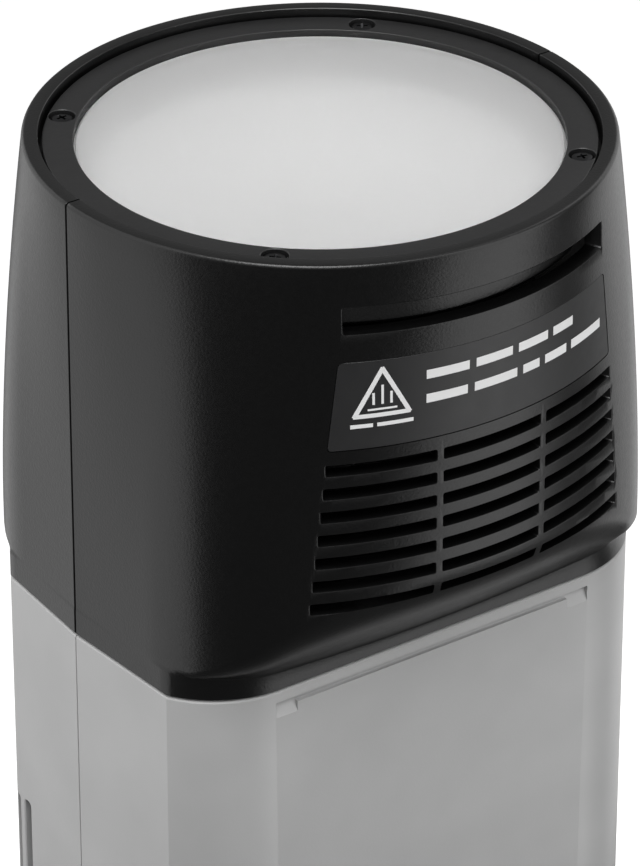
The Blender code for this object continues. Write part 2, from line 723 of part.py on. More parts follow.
def control_panel():
    panel = publish("panel_plate", box((PANEL_X[0], PANEL_Y[0], PANEL_Z[0]), (PANEL_X[1], PANEL_Y[1], PANEL_Z[1])),
                    "panel")
    middle = (SEAM_Y, sum(DISPLAY_Z) / 2)
    half_z = (DISPLAY_Z[1] - DISPLAY_Z[0]) / 2
    cut(panel, "display_hole", panel_block(middle, 12.3, half_z + GAP, 33, 40))
    cut(panel, "dial_hole", rod(on_panel(DIAL_AT, 33), (1, 0, 0), 6, DIAL_R[1] + 0.4, 32))
    cut(panel, "test_hole", rod(on_panel(TEST_AT, 33), (1, 0, 0), 6, 2.9, 20))
    for number, spot in menu_places():
        cut(panel, f"menu_hole_{number}", panel_block(spot, 2.8, 2.0, 33, 40))
    publish("display_window", panel_block(middle, 12.0, half_z, 35.1, 36.5), "display")
    board = publish("display_module", box((31.9, -13, 97), (33.3, 15, 161)), "board")
    join(board, "screen", panel_block(middle, 11.8, half_z, 33.0, 34.7))


def controls():
    for number, spot in menu_places():
        key = publish(f"menu_button_{number}", panel_block(spot, 2.5, 1.7, 34.2, BUTTON_TOP), "key",
                      origin=on_panel(spot, BUTTON_TOP))
        bevel(key, 0.3)
    foot = on_panel(DIAL_AT)
    inner, outer = DIAL_R
    profile = [(outer - 0.5, 38.2), (outer, 37.7), (outer, 35.2), (inner, 35.2), (inner, 38.2)]
    dial = turned("select_dial", profile, "key", 32, foot=foot, axis=(1, 0, 0))
    for groove in range(8):
        turn = math.tau * groove / 8
        rim = Vector((0, math.cos(turn), math.sin(turn))) * (outer + 0.25)
        cut(dial, f"grip_{groove + 1}", rod(foot + rim + Vector((34.9, 0, 0)), (1, 0, 0), 4.0, 0.7, 6))
    profile = [(0, 37.9), (3.5, 37.9), (3.9, 37.5), (3.9, 34.4), (0, 34.4)]
    turned("set_button", profile, "key", 20, foot=foot, axis=(1, 0, 0), closed=False)
    profile = [(0, 37.0), (2.3, 37.0), (2.6, 36.7), (2.6, 34.2), (0, 34.2)]
    turned("test_button", profile, "red_key", 20, foot=on_panel(TEST_AT), axis=(1, 0, 0), closed=False)
    x, y, z = SWITCH_AT
    slider = publish("power_switch", box((x - 2.6, y - 2.4, z - 5.9), (x + 0.5, y + 2.4, z + 1.4)), "key",
                     origin=SWITCH_AT)
    cut(slider, "grip", rod((x + 0.9, y - 4, z - 2.2), (0, 1, 0), 8, 0.9, 10))


def push_block(name, face, half_x, half_z, depth, finish):
    """A button on the rear face, pressed towards the front."""
    x, y, z = face
    key = publish(name, box((x - half_x, y - depth, z - half_z), (x + half_x, y, z + half_z)), finish,
                  origin=face)
    bevel(key, 0.4)
    return key


def head_release():
    push_block("head_release", RELEASE_AT, 7.0, 3.5, 4.6, "key")
    coil_r, wire_r, turns, per_turn = 2.2, 0.35, 3, 9
    low, high = 15.1, RELEASE_AT[1] - 4.6 - GAP - wire_r
    points = []
    for i in range(turns * per_turn + 1):
        turn = math.tau * i / per_turn
        share = i / (turns * per_turn)
        points.append((coil_r * math.cos(turn), low + (high - low) * share, RELEASE_AT[2] + coil_r * math.sin(turn)))
    tube_along("release_spring", points, wire_r, "steel")


# ---- battery ---------------------------------------------------------------------------------------

def battery():
    wall, lid_back, rest_y = 1.2, 2.0, SEAM_Y + SEAM_HALF
    case = publish("battery_case", prism(body_outline(), 0.0, BATTERY_TOP), "body_grey")
    cut(case, "hollow", prism(body_outline(wall), wall, BATTERY_TOP - wall))
    cut(case, "front", box((-60, -60, -5), (60, rest_y, 120)))
    cut(case, "latch_window", box((-8.3, 20, LATCH_AT[2] - 2.8), (8.3, 28, LATCH_AT[2] + 2.8)))
    inset = wall + GAP
    plate = publish("battery_lid", prism(body_outline(inset), inset, BATTERY_TOP - inset), "panel")
    boolean(plate, "INTERSECT", "slice", box((-60, rest_y, -5), (60, lid_back, 120)))
    cut(plate, "contact_window", box((-9.4, -3, 77.6), (9.4, 6, 84.4)))
    publish("battery_contacts", box((-9, 2.3, 78), (9, 5.5, 84)), "brass")
    for number in range(1, 5):
        height = 10.9 + (number - 1) * 18.4
        cell = rod((-32.2, 11.4, height), (1, 0, 0), 64.4, 9.0, 24)
        publish(f"cell_{number}", cell, "cell_wrap")
    push_block("battery_latch", LATCH_AT, 8.0, 2.5, 5.0, "key")


def main():
    head_shells()
    accessory_ring()
    ring_screws()
    lamp_stack()
    head_base()
    body_shells()
    shell_screws()
    tripod_bush("tripod_bush_side", SIDE_BUSH, (-1, 0, 0), 10.0)
    tripod_bush("tripod_bush_base", BASE_BUSH, (0, 0, -1), 10.5)
    socket()
    electronics()
    bay()
    ports()
    port_cover()
    control_panel()
    controls()
    head_release()
    battery()


main()
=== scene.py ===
"""The looks of the pocket battery strobe: fine shells, glass, controls and procedural materials.

Lengths are in millimetres until publish() turns them to metres, in the same frame as the CAD model.
"""
import json
import math

import bmesh
import bpy
from mathutils import Matrix, Vector


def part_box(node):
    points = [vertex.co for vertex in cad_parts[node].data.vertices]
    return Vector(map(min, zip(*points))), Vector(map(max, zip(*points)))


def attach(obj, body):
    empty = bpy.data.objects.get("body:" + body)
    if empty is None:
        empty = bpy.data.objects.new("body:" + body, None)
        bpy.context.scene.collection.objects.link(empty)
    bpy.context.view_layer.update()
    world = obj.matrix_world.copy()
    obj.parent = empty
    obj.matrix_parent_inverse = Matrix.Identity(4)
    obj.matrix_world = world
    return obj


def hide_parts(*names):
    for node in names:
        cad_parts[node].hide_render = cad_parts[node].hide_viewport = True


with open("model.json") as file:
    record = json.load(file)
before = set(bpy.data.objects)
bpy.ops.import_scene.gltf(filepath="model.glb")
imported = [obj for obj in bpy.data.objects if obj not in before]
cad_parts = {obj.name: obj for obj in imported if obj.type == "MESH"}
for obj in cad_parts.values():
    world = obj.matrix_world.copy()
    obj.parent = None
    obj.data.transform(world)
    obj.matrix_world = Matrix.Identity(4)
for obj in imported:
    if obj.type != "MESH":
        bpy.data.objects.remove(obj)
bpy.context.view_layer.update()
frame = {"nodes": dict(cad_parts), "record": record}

MM = 0.001
REACH = 80.0                 # longer than any half width
YZ, XZ = (1, 2), (0, 2)


def low(node):
    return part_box(node)[0] / MM


def high(node):
    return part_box(node)[1] / MM


def middle(node):
    return (low(node) + high(node)) / 2


# ---- driving dimensions, from the frame and from the shape's own rules
SEAM_Y = (high("body_shell_front").y + low("body_shell_rear").y) / 2
SEAM_HALF = 0.08
HEAD_SEAM_HALF = 0.13
SEAM_EASE = 0.09
BODY_TOP = high("body_shell_front").z
BODY_DEPTH = high("body_shell_rear").y - low("body_shell_front").y
BODY_RIDGE_X = high("body_shell_front").x
BODY_CORNER = Vector((24.0, 10.8))
BODY_CORNER_R = 14.2
CREASE_TURN = math.radians(30)
WALL = 2.0

RIM_H = high("head_shell_front").z - BODY_TOP
RIM_R = 37.25
RIM_INNER_R = 35.2
RIM_EDGE = 0.5
RIM_INNER_EDGE = 0.2
PLAN_H = 8.0
PLAN_RIDGE_X = 37.35
FRONT_R = 53.0
FRONT_CENTRE_Y = -16.1
CORNER_R = 18.0
CORNER_TURN = math.radians(32)
SWELL = 1.7
COLLAR_FOOT = 0.18
COLLAR_TOP_SIDE = 3.6
COLLAR_TOP_FRONT = 2.0
FRONT_OVERHANG = 11.9
HEAD_WALL = 2.2
LEDGE_H = (56.2, 58.1)
LEDGE_R = 31.6

RING_R = (30.8, high("accessory_ring").x)
RING_TOP = high("accessory_ring").z
SCREW_CIRCLE_R = 32.9
GLASS_R = 30.5
GLASS_TOP = high("front_glass").z

VENT_ROWS = 7
VENT_PITCH = 3.19
VENT_TOP_H = 34.6
VENT_HEIGHT = 1.5
VENT_HALF_WIDTH = (21.8, 23.8)
VENT_RIB = (7.4, 8.4)
SLOT_H = (52.1, 55.7)
SLOT_HALF_WIDTH = 19.6
LABEL_H = (36.5, 48.4)
LABEL_HALF_WIDTH = (21.6, 20.15)
LABEL_CORNER_R = 0.55
LABEL_GAP = 0.06
LABEL_PROUD = -0.03
BOWL_SHADE_BAND = (5.2, 2.4)       # below the bowl's top, where painted shade darkens it

CORNER_VENT_PITCH = 2.75
CORNER_VENT_WIDTH = 1.6
CORNER_VENT_Z = (95.0, 135.0)
DIAL_FLUTES = 36
GRIP_RIBS = 5


# ---- making solids

def publish(name, work, body, slot, replaced=(), sharp=30, material=None):
    """Makes a bmesh in millimetres a piece in metres that rides on a body."""
    thing = plain(name, work, sharp)
    thing.data.materials.append(MATERIALS[material or slot])
    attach(thing, body)
    if replaced:
        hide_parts(*replaced)
    return thing


def remake(node, work, body, slot, sharp=30):
    """Publishes the fine piece that stands in for one CAD node."""
    return publish(node + "_fine", work, body, slot, [node], sharp)


def plain(name, work, sharp=30):
    bmesh.ops.recalc_face_normals(work, faces=work.faces)
    bmesh.ops.scale(work, vec=(MM, MM, MM), verts=work.verts)
    mesh = bpy.data.meshes.new(name)
    work.to_mesh(mesh)
    work.free()
    mesh.shade_smooth()
    mesh.set_sharp_from_angle(angle=math.radians(sharp))
    thing = bpy.data.objects.new(name, mesh)
    bpy.context.scene.collection.objects.link(thing)
    return thing


def shaped(base, steps, sharp=30):
    """A bmesh in millimetres after Boolean steps, each ("cut" or "keep" or "join", bmesh)."""
    thing = plain("working", base, sharp)
    tools = []
    for kind, work in steps:
        tool = plain("tool", work)
        tools.append(tool)
        modifier = thing.modifiers.new(kind, "BOOLEAN")
        modifier.operation = {"cut": "DIFFERENCE", "keep": "INTERSECT", "join": "UNION"}[kind]
        modifier.solver = "EXACT"
        modifier.object = tool
    graph = bpy.context.evaluated_depsgraph_get()
    result = bmesh.new()
    result.from_mesh(thing.evaluated_get(graph).to_mesh())
    for spent in [thing, *tools]:
        bpy.data.objects.remove(spent, do_unlink=True)
    bmesh.ops.scale(result, vec=(1 / MM,) * 3, verts=result.verts)
    return result


def place(work, added, matrix):
    bmesh.ops.transform(work, matrix=matrix, verts=added)
    return work


def box(corner, far_corner, work=None):
    work = work or bmesh.new()
    corner, far_corner = Vector(corner), Vector(far_corner)
    added = bmesh.ops.create_cube(work, size=1.0)["verts"]
    size = Matrix.Diagonal((*(far_corner - corner), 1.0))
    return place(work, added, Matrix.Translation((corner + far_corner) / 2) @ size)


def soft_box(corner, far_corner, radius, segments=3, work=None):
    """A box with rounded edges."""
    piece = box(corner, far_corner)
    bmesh.ops.bevel(piece, geom=piece.edges[:], offset=radius, segments=segments, profile=0.5, affect="EDGES")
    return added_to(work, piece)


def added_to(work, piece):
    """Adds a bmesh to another, or returns it where there is no other."""
    if work is None:
        return piece
    mesh = bpy.data.meshes.new("added")
    piece.to_mesh(mesh)
    piece.free()
    work.from_mesh(mesh)
    bpy.data.meshes.remove(mesh)
    return work


def facing(axis):
    return Vector((0, 0, 1)).rotation_difference(Vector(axis)).to_matrix().to_4x4()


def turned(profile, steps=64, foot=(0, 0, 0), axis=(0, 0, 1), closed=True):
    """Turns a profile of (radius, height) points about an axis."""
    work = bmesh.new()
    points = [work.verts.new((radius, 0, height)) for radius, height in profile]
    pairs = zip(points, points[1:] + points[:1] if closed else points[1:])
    edges = [work.edges.new(pair) for pair in pairs]
    bmesh.ops.spin(work, geom=points + edges, cent=(0, 0, 0), axis=(0, 0, 1), angle=math.tau,
                   steps=steps, use_merge=True)
    bmesh.ops.remove_doubles(work, verts=work.verts, dist=0.0005)
    return place(work, work.verts, Matrix.Translation(foot) @ facing(axis))


def bent(start, control, end, steps):
    """Points on a quadratic curve."""
    points = []
    for step in range(steps + 1):
        t = step / steps
        points.append(tuple(start * (1 - t) ** 2 + control * 2 * t * (1 - t) + end * t * t))
    return points


def rounded(points, radius, steps=4, closed=True):
    """A profile with its corners rounded. radius is one number, or one for each point."""
    radii = [radius] * len(points) if isinstance(radius, (int, float)) else radius
    made = []
    for i, (corner, r) in enumerate(zip(points, radii)):
        here = Vector(corner)
        ends = not closed and i in (0, len(points) - 1)
        if r == 0 or ends:
            made.append(tuple(here))
            continue
        before, after = Vector(points[i - 1]), Vector(points[(i + 1) % len(points)])
        back, on = (before - here), (after - here)
        turn = back.angle(on)
        reach = min(r / math.tan(turn / 2), back.length * 0.49, on.length * 0.49)
        start, end = here + back.normalized() * reach, here + on.normalized() * reach
        made += bent(start, here, end, steps)
    return made


def rod(foot, axis, length, radius, sides=32):
    return turned([(0, length), (radius, length), (radius, 0), (0, 0)], sides, foot, axis, closed=False)


def prism(outline, bottom, top):
    """An upright solid on an outline of (x, y)."""
    work = bmesh.new()
    face = work.faces.new([work.verts.new((*point, bottom)) for point in outline])
    grown = bmesh.ops.extrude_face_region(work, geom=[face])["geom"]
    added = [item for item in grown if isinstance(item, bmesh.types.BMVert)]
    bmesh.ops.translate(work, vec=(0, 0, top - bottom), verts=added)
    return work


def round_rect(half_x, half_y, radius, centre=(0, 0), steps=5):
    """An anticlockwise rounded rectangle."""
    points = []
    for quarter, (sx, sy) in enumerate(((1, 1), (-1, 1), (-1, -1), (1, -1))):
        corner = Vector((centre[0] + sx * (half_x - radius), centre[1] + sy * (half_y - radius)))
        for step in range(steps + 1):
            turn = math.pi / 2 * (quarter + step / steps)
            points.append(tuple(corner + Vector((math.cos(turn), math.sin(turn))) * radius))
    return points


def flared(outline_at, levels, axis):
    """A cutter along X or Y with a chamfered mouth: the outline at each (depth, growth), in a row."""
    work = bmesh.new()
    loops = []
    for depth, growth in levels:
        spots = [(depth, a, b) if axis == "x" else (a, depth, b) for a, b in outline_at(growth)]
        loops.append([work.verts.new(spot) for spot in spots])
    skin(work, loops)
    return work


def skin(work, loops, strips=False):
    """Joins closed loops of vertices in a row and caps both ends.

    With strips, each cap is a row of quads between the loop's first half and its mirrored second half.
    """
    for loop, after in zip(loops, loops[1:]):
        for i in range(len(loop)):
            j = (i + 1) % len(loop)
            work.faces.new((loop[i], after[i], after[j], loop[j]))
    for loop in (loops[0], loops[-1]):
        if not strips:
            work.faces.new(loop)
            continue
        for i in range(len(loop) // 2 - 1):
            work.faces.new((loop[i], loop[i + 1], loop[-2 - i], loop[-1 - i]))


# ---- outlines in plan, the same rules as the CAD model's

def line_through(start, end):
    run = end - start
    normal = math.atan2(-run.x, run.y)
    return normal, start.x * math.cos(normal) + start.y * math.sin(normal)


def to_line(angle, line):
    normal, offset = line
    return offset / math.cos(angle - normal)


def to_arc(angle, centre, radius):
    along = centre.x * math.cos(angle) + centre.y * math.sin(angle)
    return along + math.sqrt(along ** 2 - centre.length_squared + radius ** 2)


def polar(point):
    return math.atan2(point.y, point.x)


def on_circle(centre, radius, turn):
    return centre + Vector((math.cos(turn), math.sin(turn))) * radius


BODY_CREASE = on_circle(BODY_CORNER, BODY_CORNER_R, CREASE_TURN)
FRONT_CENTRE = Vector((0.0, FRONT_CENTRE_Y))
PLAN_CORNER = on_circle(FRONT_CENTRE, FRONT_R - CORNER_R, math.pi / 2 - CORNER_TURN)
PLAN_JOIN = on_circle(PLAN_CORNER, CORNER_R, math.pi / 2 - CORNER_TURN)


def plan_tangent(half):
    reach = Vector((PLAN_RIDGE_X, half * SEAM_Y)) - PLAN_CORNER
    return on_circle(PLAN_CORNER, CORNER_R, polar(reach) + math.acos(CORNER_R / reach.length))


TANGENTS = {half: plan_tangent(half) for half in (-1, 1)}
PLAN_SIDES = {half: line_through(Vector((PLAN_RIDGE_X, half * SEAM_Y)), TANGENTS[half]) for half in (-1, 1)}
BODY_SIDES = {half: line_through(Vector((BODY_RIDGE_X, half * SEAM_Y)), BODY_CREASE) for half in (-1, 1)}


def body_radius(half, angle):
    if angle < polar(BODY_CREASE):
        return to_line(angle, BODY_SIDES[half])
    if angle < math.atan2(BODY_DEPTH / 2, BODY_CORNER.x):
        return to_arc(angle, BODY_CORNER, BODY_CORNER_R)
    return BODY_DEPTH / 2 / math.sin(angle)


def plan_radius(half, angle):
    if angle < polar(TANGENTS[half]):
        return to_line(angle, PLAN_SIDES[half])
    if angle < polar(PLAN_JOIN):
        return to_arc(angle, PLAN_CORNER, CORNER_R)
    return to_arc(angle, FRONT_CENTRE, FRONT_R)


def wall_radius(half, angle, height):
    rise = min((RIM_H - height) / (RIM_H - PLAN_H), 1.0)
    weight = 1.0 - (1.0 - rise) ** SWELL
    return RIM_R * (1.0 - weight) + plan_radius(half, angle) * weight


def quadrant_angles(half, side_steps, corner_steps):
    ridge = polar(Vector((BODY_RIDGE_X, half * SEAM_Y)))
    crease = polar(BODY_CREASE)
    side = [ridge + (crease - ridge) * i / side_steps for i in range(side_steps)]
    corner = [crease + (math.pi / 2 - crease) * i / corner_steps for i in range(corner_steps + 1)]
    return side + corner


def at(half, angle, side, radius, height):
    return Vector((side * radius * math.cos(angle), half * radius * math.sin(angle), height))


def body_outline(inset=0.0, side_steps=8, corner_steps=30):
    points = []
    for half, side in ((1, 1), (1, -1), (-1, -1), (-1, 1)):
        angles = quadrant_angles(half, side_steps, corner_steps)
        turn = angles[:-1] if half * side > 0 else angles[:0:-1]
        points += [at(half, angle, side, body_radius(half, angle), 0) for angle in turn]
    return inward([(point.x, point.y) for point in points], inset)


def inward(outline, inset):
    moved = []
    for before, here, after in zip(outline[-1:] + outline[:-1], outline, outline[1:] + outline[:1]):
        first = Vector((here[1] - before[1], before[0] - here[0])).normalized()
        second = Vector((after[1] - here[1], here[0] - after[0])).normalized()
        mitre = (first + second).normalized()
        reach = inset / mitre.dot(first)
        moved.append((here[0] - mitre.x * reach, here[1] - mitre.y * reach))
    return moved


def half_space(half):
    edge = SEAM_Y + half * SEAM_HALF
    if half < 0:
        return box((-REACH, -REACH, -30), (REACH, edge, 260))
    return box((-REACH, edge, -30), (REACH, REACH, 260))


# ---- materials

MATERIALS = {}


class Nodes:
    """A material under construction, kept by its name, with short calls for the nodes it uses."""

    def __init__(self, name, colour, roughness, metallic=0.0, specular=0.5):
        self.material = bpy.data.materials.new(name)
        MATERIALS[name] = self.material
        self.material.use_nodes = True
        self.tree = self.material.node_tree
        self.shader = self.tree.nodes["Principled BSDF"]
        self.shader.inputs["Base Color"].default_value = (*colour, 1.0)
        self.shader.inputs["Roughness"].default_value = roughness
        self.shader.inputs["Metallic"].default_value = metallic
        self.shader.inputs["Specular IOR Level"].default_value = specular
        self.colour = colour
        self.roughness = roughness
        self.place = self.tree.nodes.new("ShaderNodeTexCoord").outputs["Object"]

    def link(self, output, socket):
        self.tree.links.new(output, socket)

    def noise(self, per_mm, detail=2.0, stretch=(1, 1, 1)):
        """Noise with this many features a millimetre, stretched along each axis."""
        mapping = self.tree.nodes.new("ShaderNodeMapping")
        mapping.inputs["Scale"].default_value = [1.0 / s for s in stretch]
        self.link(self.place, mapping.inputs["Vector"])
        noise = self.tree.nodes.new("ShaderNodeTexNoise")
        noise.inputs["Scale"].default_value = per_mm / MM
        noise.inputs["Detail"].default_value = detail
        self.link(mapping.outputs["Vector"], noise.inputs["Vector"])
        return noise.outputs["Fac"]

    def spread(self, value, span):
        """Maps 0.3..0.7 of a noise to a span of values."""
        node = self.tree.nodes.new("ShaderNodeMapRange")
        node.inputs["From Min"].default_value = 0.3
        node.inputs["From Max"].default_value = 0.7
        node.inputs["To Min"].default_value, node.inputs["To Max"].default_value = span
        self.link(value, node.inputs["Value"])
        return node.outputs["Result"]

    def grain(self, per_mm, depth_mm, detail=2.0, stretch=(1, 1, 1)):
        """A bump of this depth on the shader's normal, over any bump that is already there."""
        bump = self.tree.nodes.new("ShaderNodeBump")
        bump.inputs["Strength"].default_value = 1.0
        bump.inputs["Distance"].default_value = depth_mm * MM
        self.link(self.noise(per_mm, detail, stretch), bump.inputs["Height"])
        normal = self.shader.inputs["Normal"]
        if normal.is_linked:
            self.link(normal.links[0].from_socket, bump.inputs["Normal"])
        self.link(bump.outputs["Normal"], normal)

    def uneven_gloss(self, per_mm, amount):
        span = (self.roughness - amount, self.roughness + amount)
        self.link(self.spread(self.noise(per_mm), span), self.shader.inputs["Roughness"])

    def uneven_colour(self, per_mm, amount, stretch=(1, 1, 1)):
        """Lightens and darkens the colour a little."""
        mix = self.tree.nodes.new("ShaderNodeMix")
        mix.data_type = "RGBA"
        mix.inputs["A"].default_value = (*[c * (1 - amount) for c in self.colour], 1)
        mix.inputs["B"].default_value = (*[min(c * (1 + amount), 1) for c in self.colour], 1)
        self.link(self.spread(self.noise(per_mm, stretch=stretch), (0, 1)), mix.inputs["Factor"])
        self.link(mix.outputs["Result"], self.shader.inputs["Base Color"])
        return mix.outputs["Result"]

    def two_tone(self, factor, colour):
        """Mixes another colour over the present one by a factor."""
        mix = self.tree.nodes.new("ShaderNodeMix")
        mix.data_type = "RGBA"
        base = self.shader.inputs["Base Color"]
        if base.is_linked:
            self.link(base.links[0].from_socket, mix.inputs["A"])
        else:
            mix.inputs["A"].default_value = base.default_value
        mix.inputs["B"].default_value = (*colour, 1)
        self.link(factor, mix.inputs["Factor"])
        self.link(mix.outputs["Result"], base)


def surface(name, colour, roughness, tint, gloss, grain, **more):
    """Uneven colour and gloss are each (per_mm, amount), and the grain is (per_mm, depth_mm, detail)."""
    nodes = Nodes(name, colour, roughness, **more)
    if tint:
        nodes.uneven_colour(*tint)
    nodes.uneven_gloss(*gloss)
    nodes.grain(*grain)
    return nodes


def moulded(name, colour, roughness, grain_mm, per_mm=2.6):
    """Injection-moulded plastic with a fine spark-eroded texture."""
    surface(name, colour, roughness, (0.08, 0.04), (1.5, 0.02), (per_mm, grain_mm, 3.0))


def smooth_plastic(name, colour, roughness):
    surface(name, colour, roughness, (0.05, 0.05), (0.5, 0.03), (1.2, 0.003, 1.0))


def coated_metal(name, colour, roughness):
    """Powder coat over metal: a soft orange peel."""
    surface(name, colour, roughness, (0.1, 0.06), (0.6, 0.05), (1.6, 0.012, 2.0))


def metal(name, colour, roughness):
    """Machined metal with fine directional marks."""
    along = (1, 1, 12)
    surface(name, colour, roughness, (0.3, 0.06, along), (0.8, 0.06), (4.0, 0.004, 2.0, along), metallic=1.0)


def rubber(name, colour):
    surface(name, colour, 0.85, (0.2, 0.1), (0.5, 0.05), (3.5, 0.02, 3.0))


def sleeve(name, colour):
    """Shrink sleeve: glossy, with soft ripples."""
    surface(name, colour, 0.3, (0.05, 0.06), (0.2, 0.05), (0.15, 0.05, 1.0))


def display_panel():
    """A reflective grey display under its window."""
    surface("display", (0.20, 0.235, 0.215), 0.14, (0.06, 0.05), (0.4, 0.03), (3.0, 0.002, 1.0))


def glass(nodes, through, bends):
    nodes.shader.inputs["Transmission Weight"].default_value = through
    nodes.shader.inputs["IOR"].default_value = bends


def frosted_glass():
    """Etched glass: light passes, but is scattered by the fine frosting."""
    nodes = surface("frosted_glass", (0.985, 0.985, 0.985), 0.3, None, (2.0, 0.02), (1.5, 0.0015, 1.0))
    glass(nodes, 0.74, 1.45)


def clear_glass():
    nodes = surface("flash_glass", (0.95, 0.95, 0.93), 0.06, None, (0.3, 0.02), (0.4, 0.004, 1.0))
    glass(nodes, 0.85, 1.5)


def reflector_metal():
    """Bright inside, with painted shade in a band below its top, and near-black painted shade where the surface
    faces down.
    """
    nodes = surface("bright_metal", (0.95, 0.95, 0.95), 0.6, None, (0.4, 0.05), (0.7, 0.02, 1.0), metallic=0.4)
    # Painted shade: faces whose normal points down are made near-black, as undersides in shadow.
    facing_z = nodes.tree.nodes.new("ShaderNodeSeparateXYZ")
    geometry = nodes.tree.nodes.new("ShaderNodeNewGeometry")
    nodes.link(geometry.outputs["True Normal"], facing_z.inputs["Vector"])
    down = nodes.tree.nodes.new("ShaderNodeMath")
    down.operation = "LESS_THAN"
    down.inputs[1].default_value = 0.0
    nodes.link(facing_z.outputs["Z"], down.inputs[0])
    nodes.two_tone(down.outputs["Value"], (0.02, 0.02, 0.02))
    # Painted shade: a darker band below the bowl's top stands in for the shadow on the bowl's wall.
    height = nodes.tree.nodes.new("ShaderNodeSeparateXYZ")
    nodes.link(nodes.place, height.inputs["Vector"])
    band = nodes.tree.nodes.new("ShaderNodeMapRange")
    band.inputs["From Min"].default_value = (high("reflector").z - BOWL_SHADE_BAND[0]) * MM
    band.inputs["From Max"].default_value = (high("reflector").z - BOWL_SHADE_BAND[1]) * MM
    nodes.link(height.outputs["Z"], band.inputs["Value"])
    nodes.two_tone(band.outputs["Result"], (0.04, 0.04, 0.04))


def circuit_board():
    """Green lacquer with a faint pattern of tracks under it."""
    nodes = Nodes("board", (0.02, 0.13, 0.05), 0.35)
    tracks = nodes.tree.nodes.new("ShaderNodeTexBrick")
    tracks.inputs["Scale"].default_value = 1.0 / (6 * MM)
    tracks.inputs["Mortar Size"].default_value = 0.03
    nodes.link(nodes.place, tracks.inputs["Vector"])
    nodes.two_tone(tracks.outputs["Fac"], (0.05, 0.22, 0.09))
    nodes.uneven_gloss(0.5, 0.05)
    nodes.grain(0.5, 0.01, 1.0)


# Each material has the name of the slot it belongs to, but for the printed marks.
moulded("head_black", (0.0015, 0.0015, 0.00155), 0.31, grain_mm=0.024, per_mm=3.0)
moulded("body_grey", (0.372, 0.372, 0.372), 0.34, grain_mm=0.010, per_mm=3.5)
coated_metal("ring_black", (0.008, 0.008, 0.0082), 0.42)
metal("screw_black", (0.045, 0.045, 0.047), 0.3)
frosted_glass()
clear_glass()
smooth_plastic("label", (0.014, 0.014, 0.0145), 0.45)
smooth_plastic("label_marks", (0.72, 0.72, 0.72), 0.45)
rubber("rubber", (0.025, 0.025, 0.025))
reflector_metal()
metal("steel", (0.50, 0.50, 0.51), 0.32)
metal("brass", (0.72, 0.53, 0.24), 0.28)
circuit_board()
sleeve("capacitor_sleeve", (0.03, 0.04, 0.10))
sleeve("cell_wrap", (0.08, 0.22, 0.40))
smooth_plastic("panel", (0.02, 0.02, 0.021), 0.36)
moulded("key", (0.10, 0.10, 0.104), 0.5, grain_mm=0.012, per_mm=3.5)
moulded("red_key", (0.42, 0.025, 0.02), 0.42, grain_mm=0.01)
display_panel()


def finish_cad_nodes():
    """Every CAD node gets its slot's procedural material and smooth shading."""
    for entry in frame["record"]["subparts"]:
        mesh = frame["nodes"][entry["node"]].data
        mesh.materials.clear()
        mesh.materials.append(MATERIALS[entry["material_slot"]])
        mesh.shade_smooth()
        mesh.set_sharp_from_angle(angle=math.radians(30))


# ---- head

def wall_profile(half, angle, pulled_in=0.0):
    """The head shell's section: up the outside, over the rim, down the inside."""
    body, full = body_radius(half, angle), plan_radius(half, angle)
    overhang = max(full - body, 0.0)
    collar_top = COLLAR_TOP_SIDE - (COLLAR_TOP_SIDE - COLLAR_TOP_FRONT) / FRONT_OVERHANG * overhang
    turn_h = collar_top + max(overhang, 0.8)
    soft = 0.3 + 0.30 * overhang
    crease = min(overhang, 1.0) * 0.12
    outer = [(body - 0.12, COLLAR_FOOT), (body, COLLAR_FOOT + 0.12), (body, 1.2),
             (body, collar_top - crease - 0.05), (body + crease * 0.6, collar_top + crease * 0.5)]
    turn_r = wall_radius(half, angle, turn_h)
    start = Vector((turn_r - 0.30 * overhang, turn_h - soft))
    outer.append(tuple(Vector(outer[-1]).lerp(start, 0.5)))
    end = Vector((wall_radius(half, angle, turn_h + soft), turn_h + soft))
    outer += bent(start, Vector((turn_r, turn_h)), end, 10)
    bottom, top, rows = turn_h + soft, RIM_H - RIM_EDGE, 18
    for row in range(1, rows + 1):
        height = bottom + (top - bottom) * row / rows
        outer.append((wall_radius(half, angle, height), height))
    rim_corner, rim_end = Vector((RIM_R, RIM_H)), Vector((RIM_R - RIM_EDGE, RIM_H))
    outer += bent(Vector(outer[-1]), rim_corner, rim_end, 5)[1:]
    across, down = Vector((RIM_INNER_EDGE, 0)), Vector((0, -RIM_INNER_EDGE))
    inner_corner = Vector((RIM_INNER_R, RIM_H))
    outer += bent(inner_corner + across, inner_corner, inner_corner + down, 3)
    ledge = [(RIM_INNER_R, LEDGE_H[1]), (LEDGE_R, LEDGE_H[1]), (LEDGE_R, LEDGE_H[0])]
    heights = (LEDGE_H[0], 46.0, 34.0, 24.0, turn_h + HEAD_WALL * 0.5)
    inner = [(wall_radius(half, angle, height) - HEAD_WALL, height) for height in heights]
    inner += [(body - HEAD_WALL, collar_top + HEAD_WALL * 0.5), (body - HEAD_WALL, COLLAR_FOOT)]
    return [(radius - pulled_in, height) for radius, height in outer] + ledge + inner


def head_half(half, side_steps=14, corner_steps=62):
    """One half of the head's wall: a loft from seam to seam, with its seam edges eased."""
    angles = quadrant_angles(half, side_steps, corner_steps)
    edge_y = half * (SEAM_Y + half * HEAD_SEAM_HALF)
    work = bmesh.new()
    loops = []
    for side in (1, -1):
        cuts = [(edge_y, SEAM_EASE), (edge_y + SEAM_EASE, 0.0)]
        ends = []
        for depth, pulled_in in cuts:
            section = wall_profile(half, angles[0], pulled_in)
            ends.append([at(half, math.asin(depth / r), side, r, BODY_TOP + h) for r, h in section])
        rest = []
        for angle in angles[1:]:
            section = wall_profile(half, angle)
            rest.append([at(half, angle, side, r, BODY_TOP + h) for r, h in section])
        rows = ends + rest
        loops += rows if side > 0 else rows[-2::-1]
    skin(work, [[work.verts.new(point) for point in loop] for loop in loops])
    return work


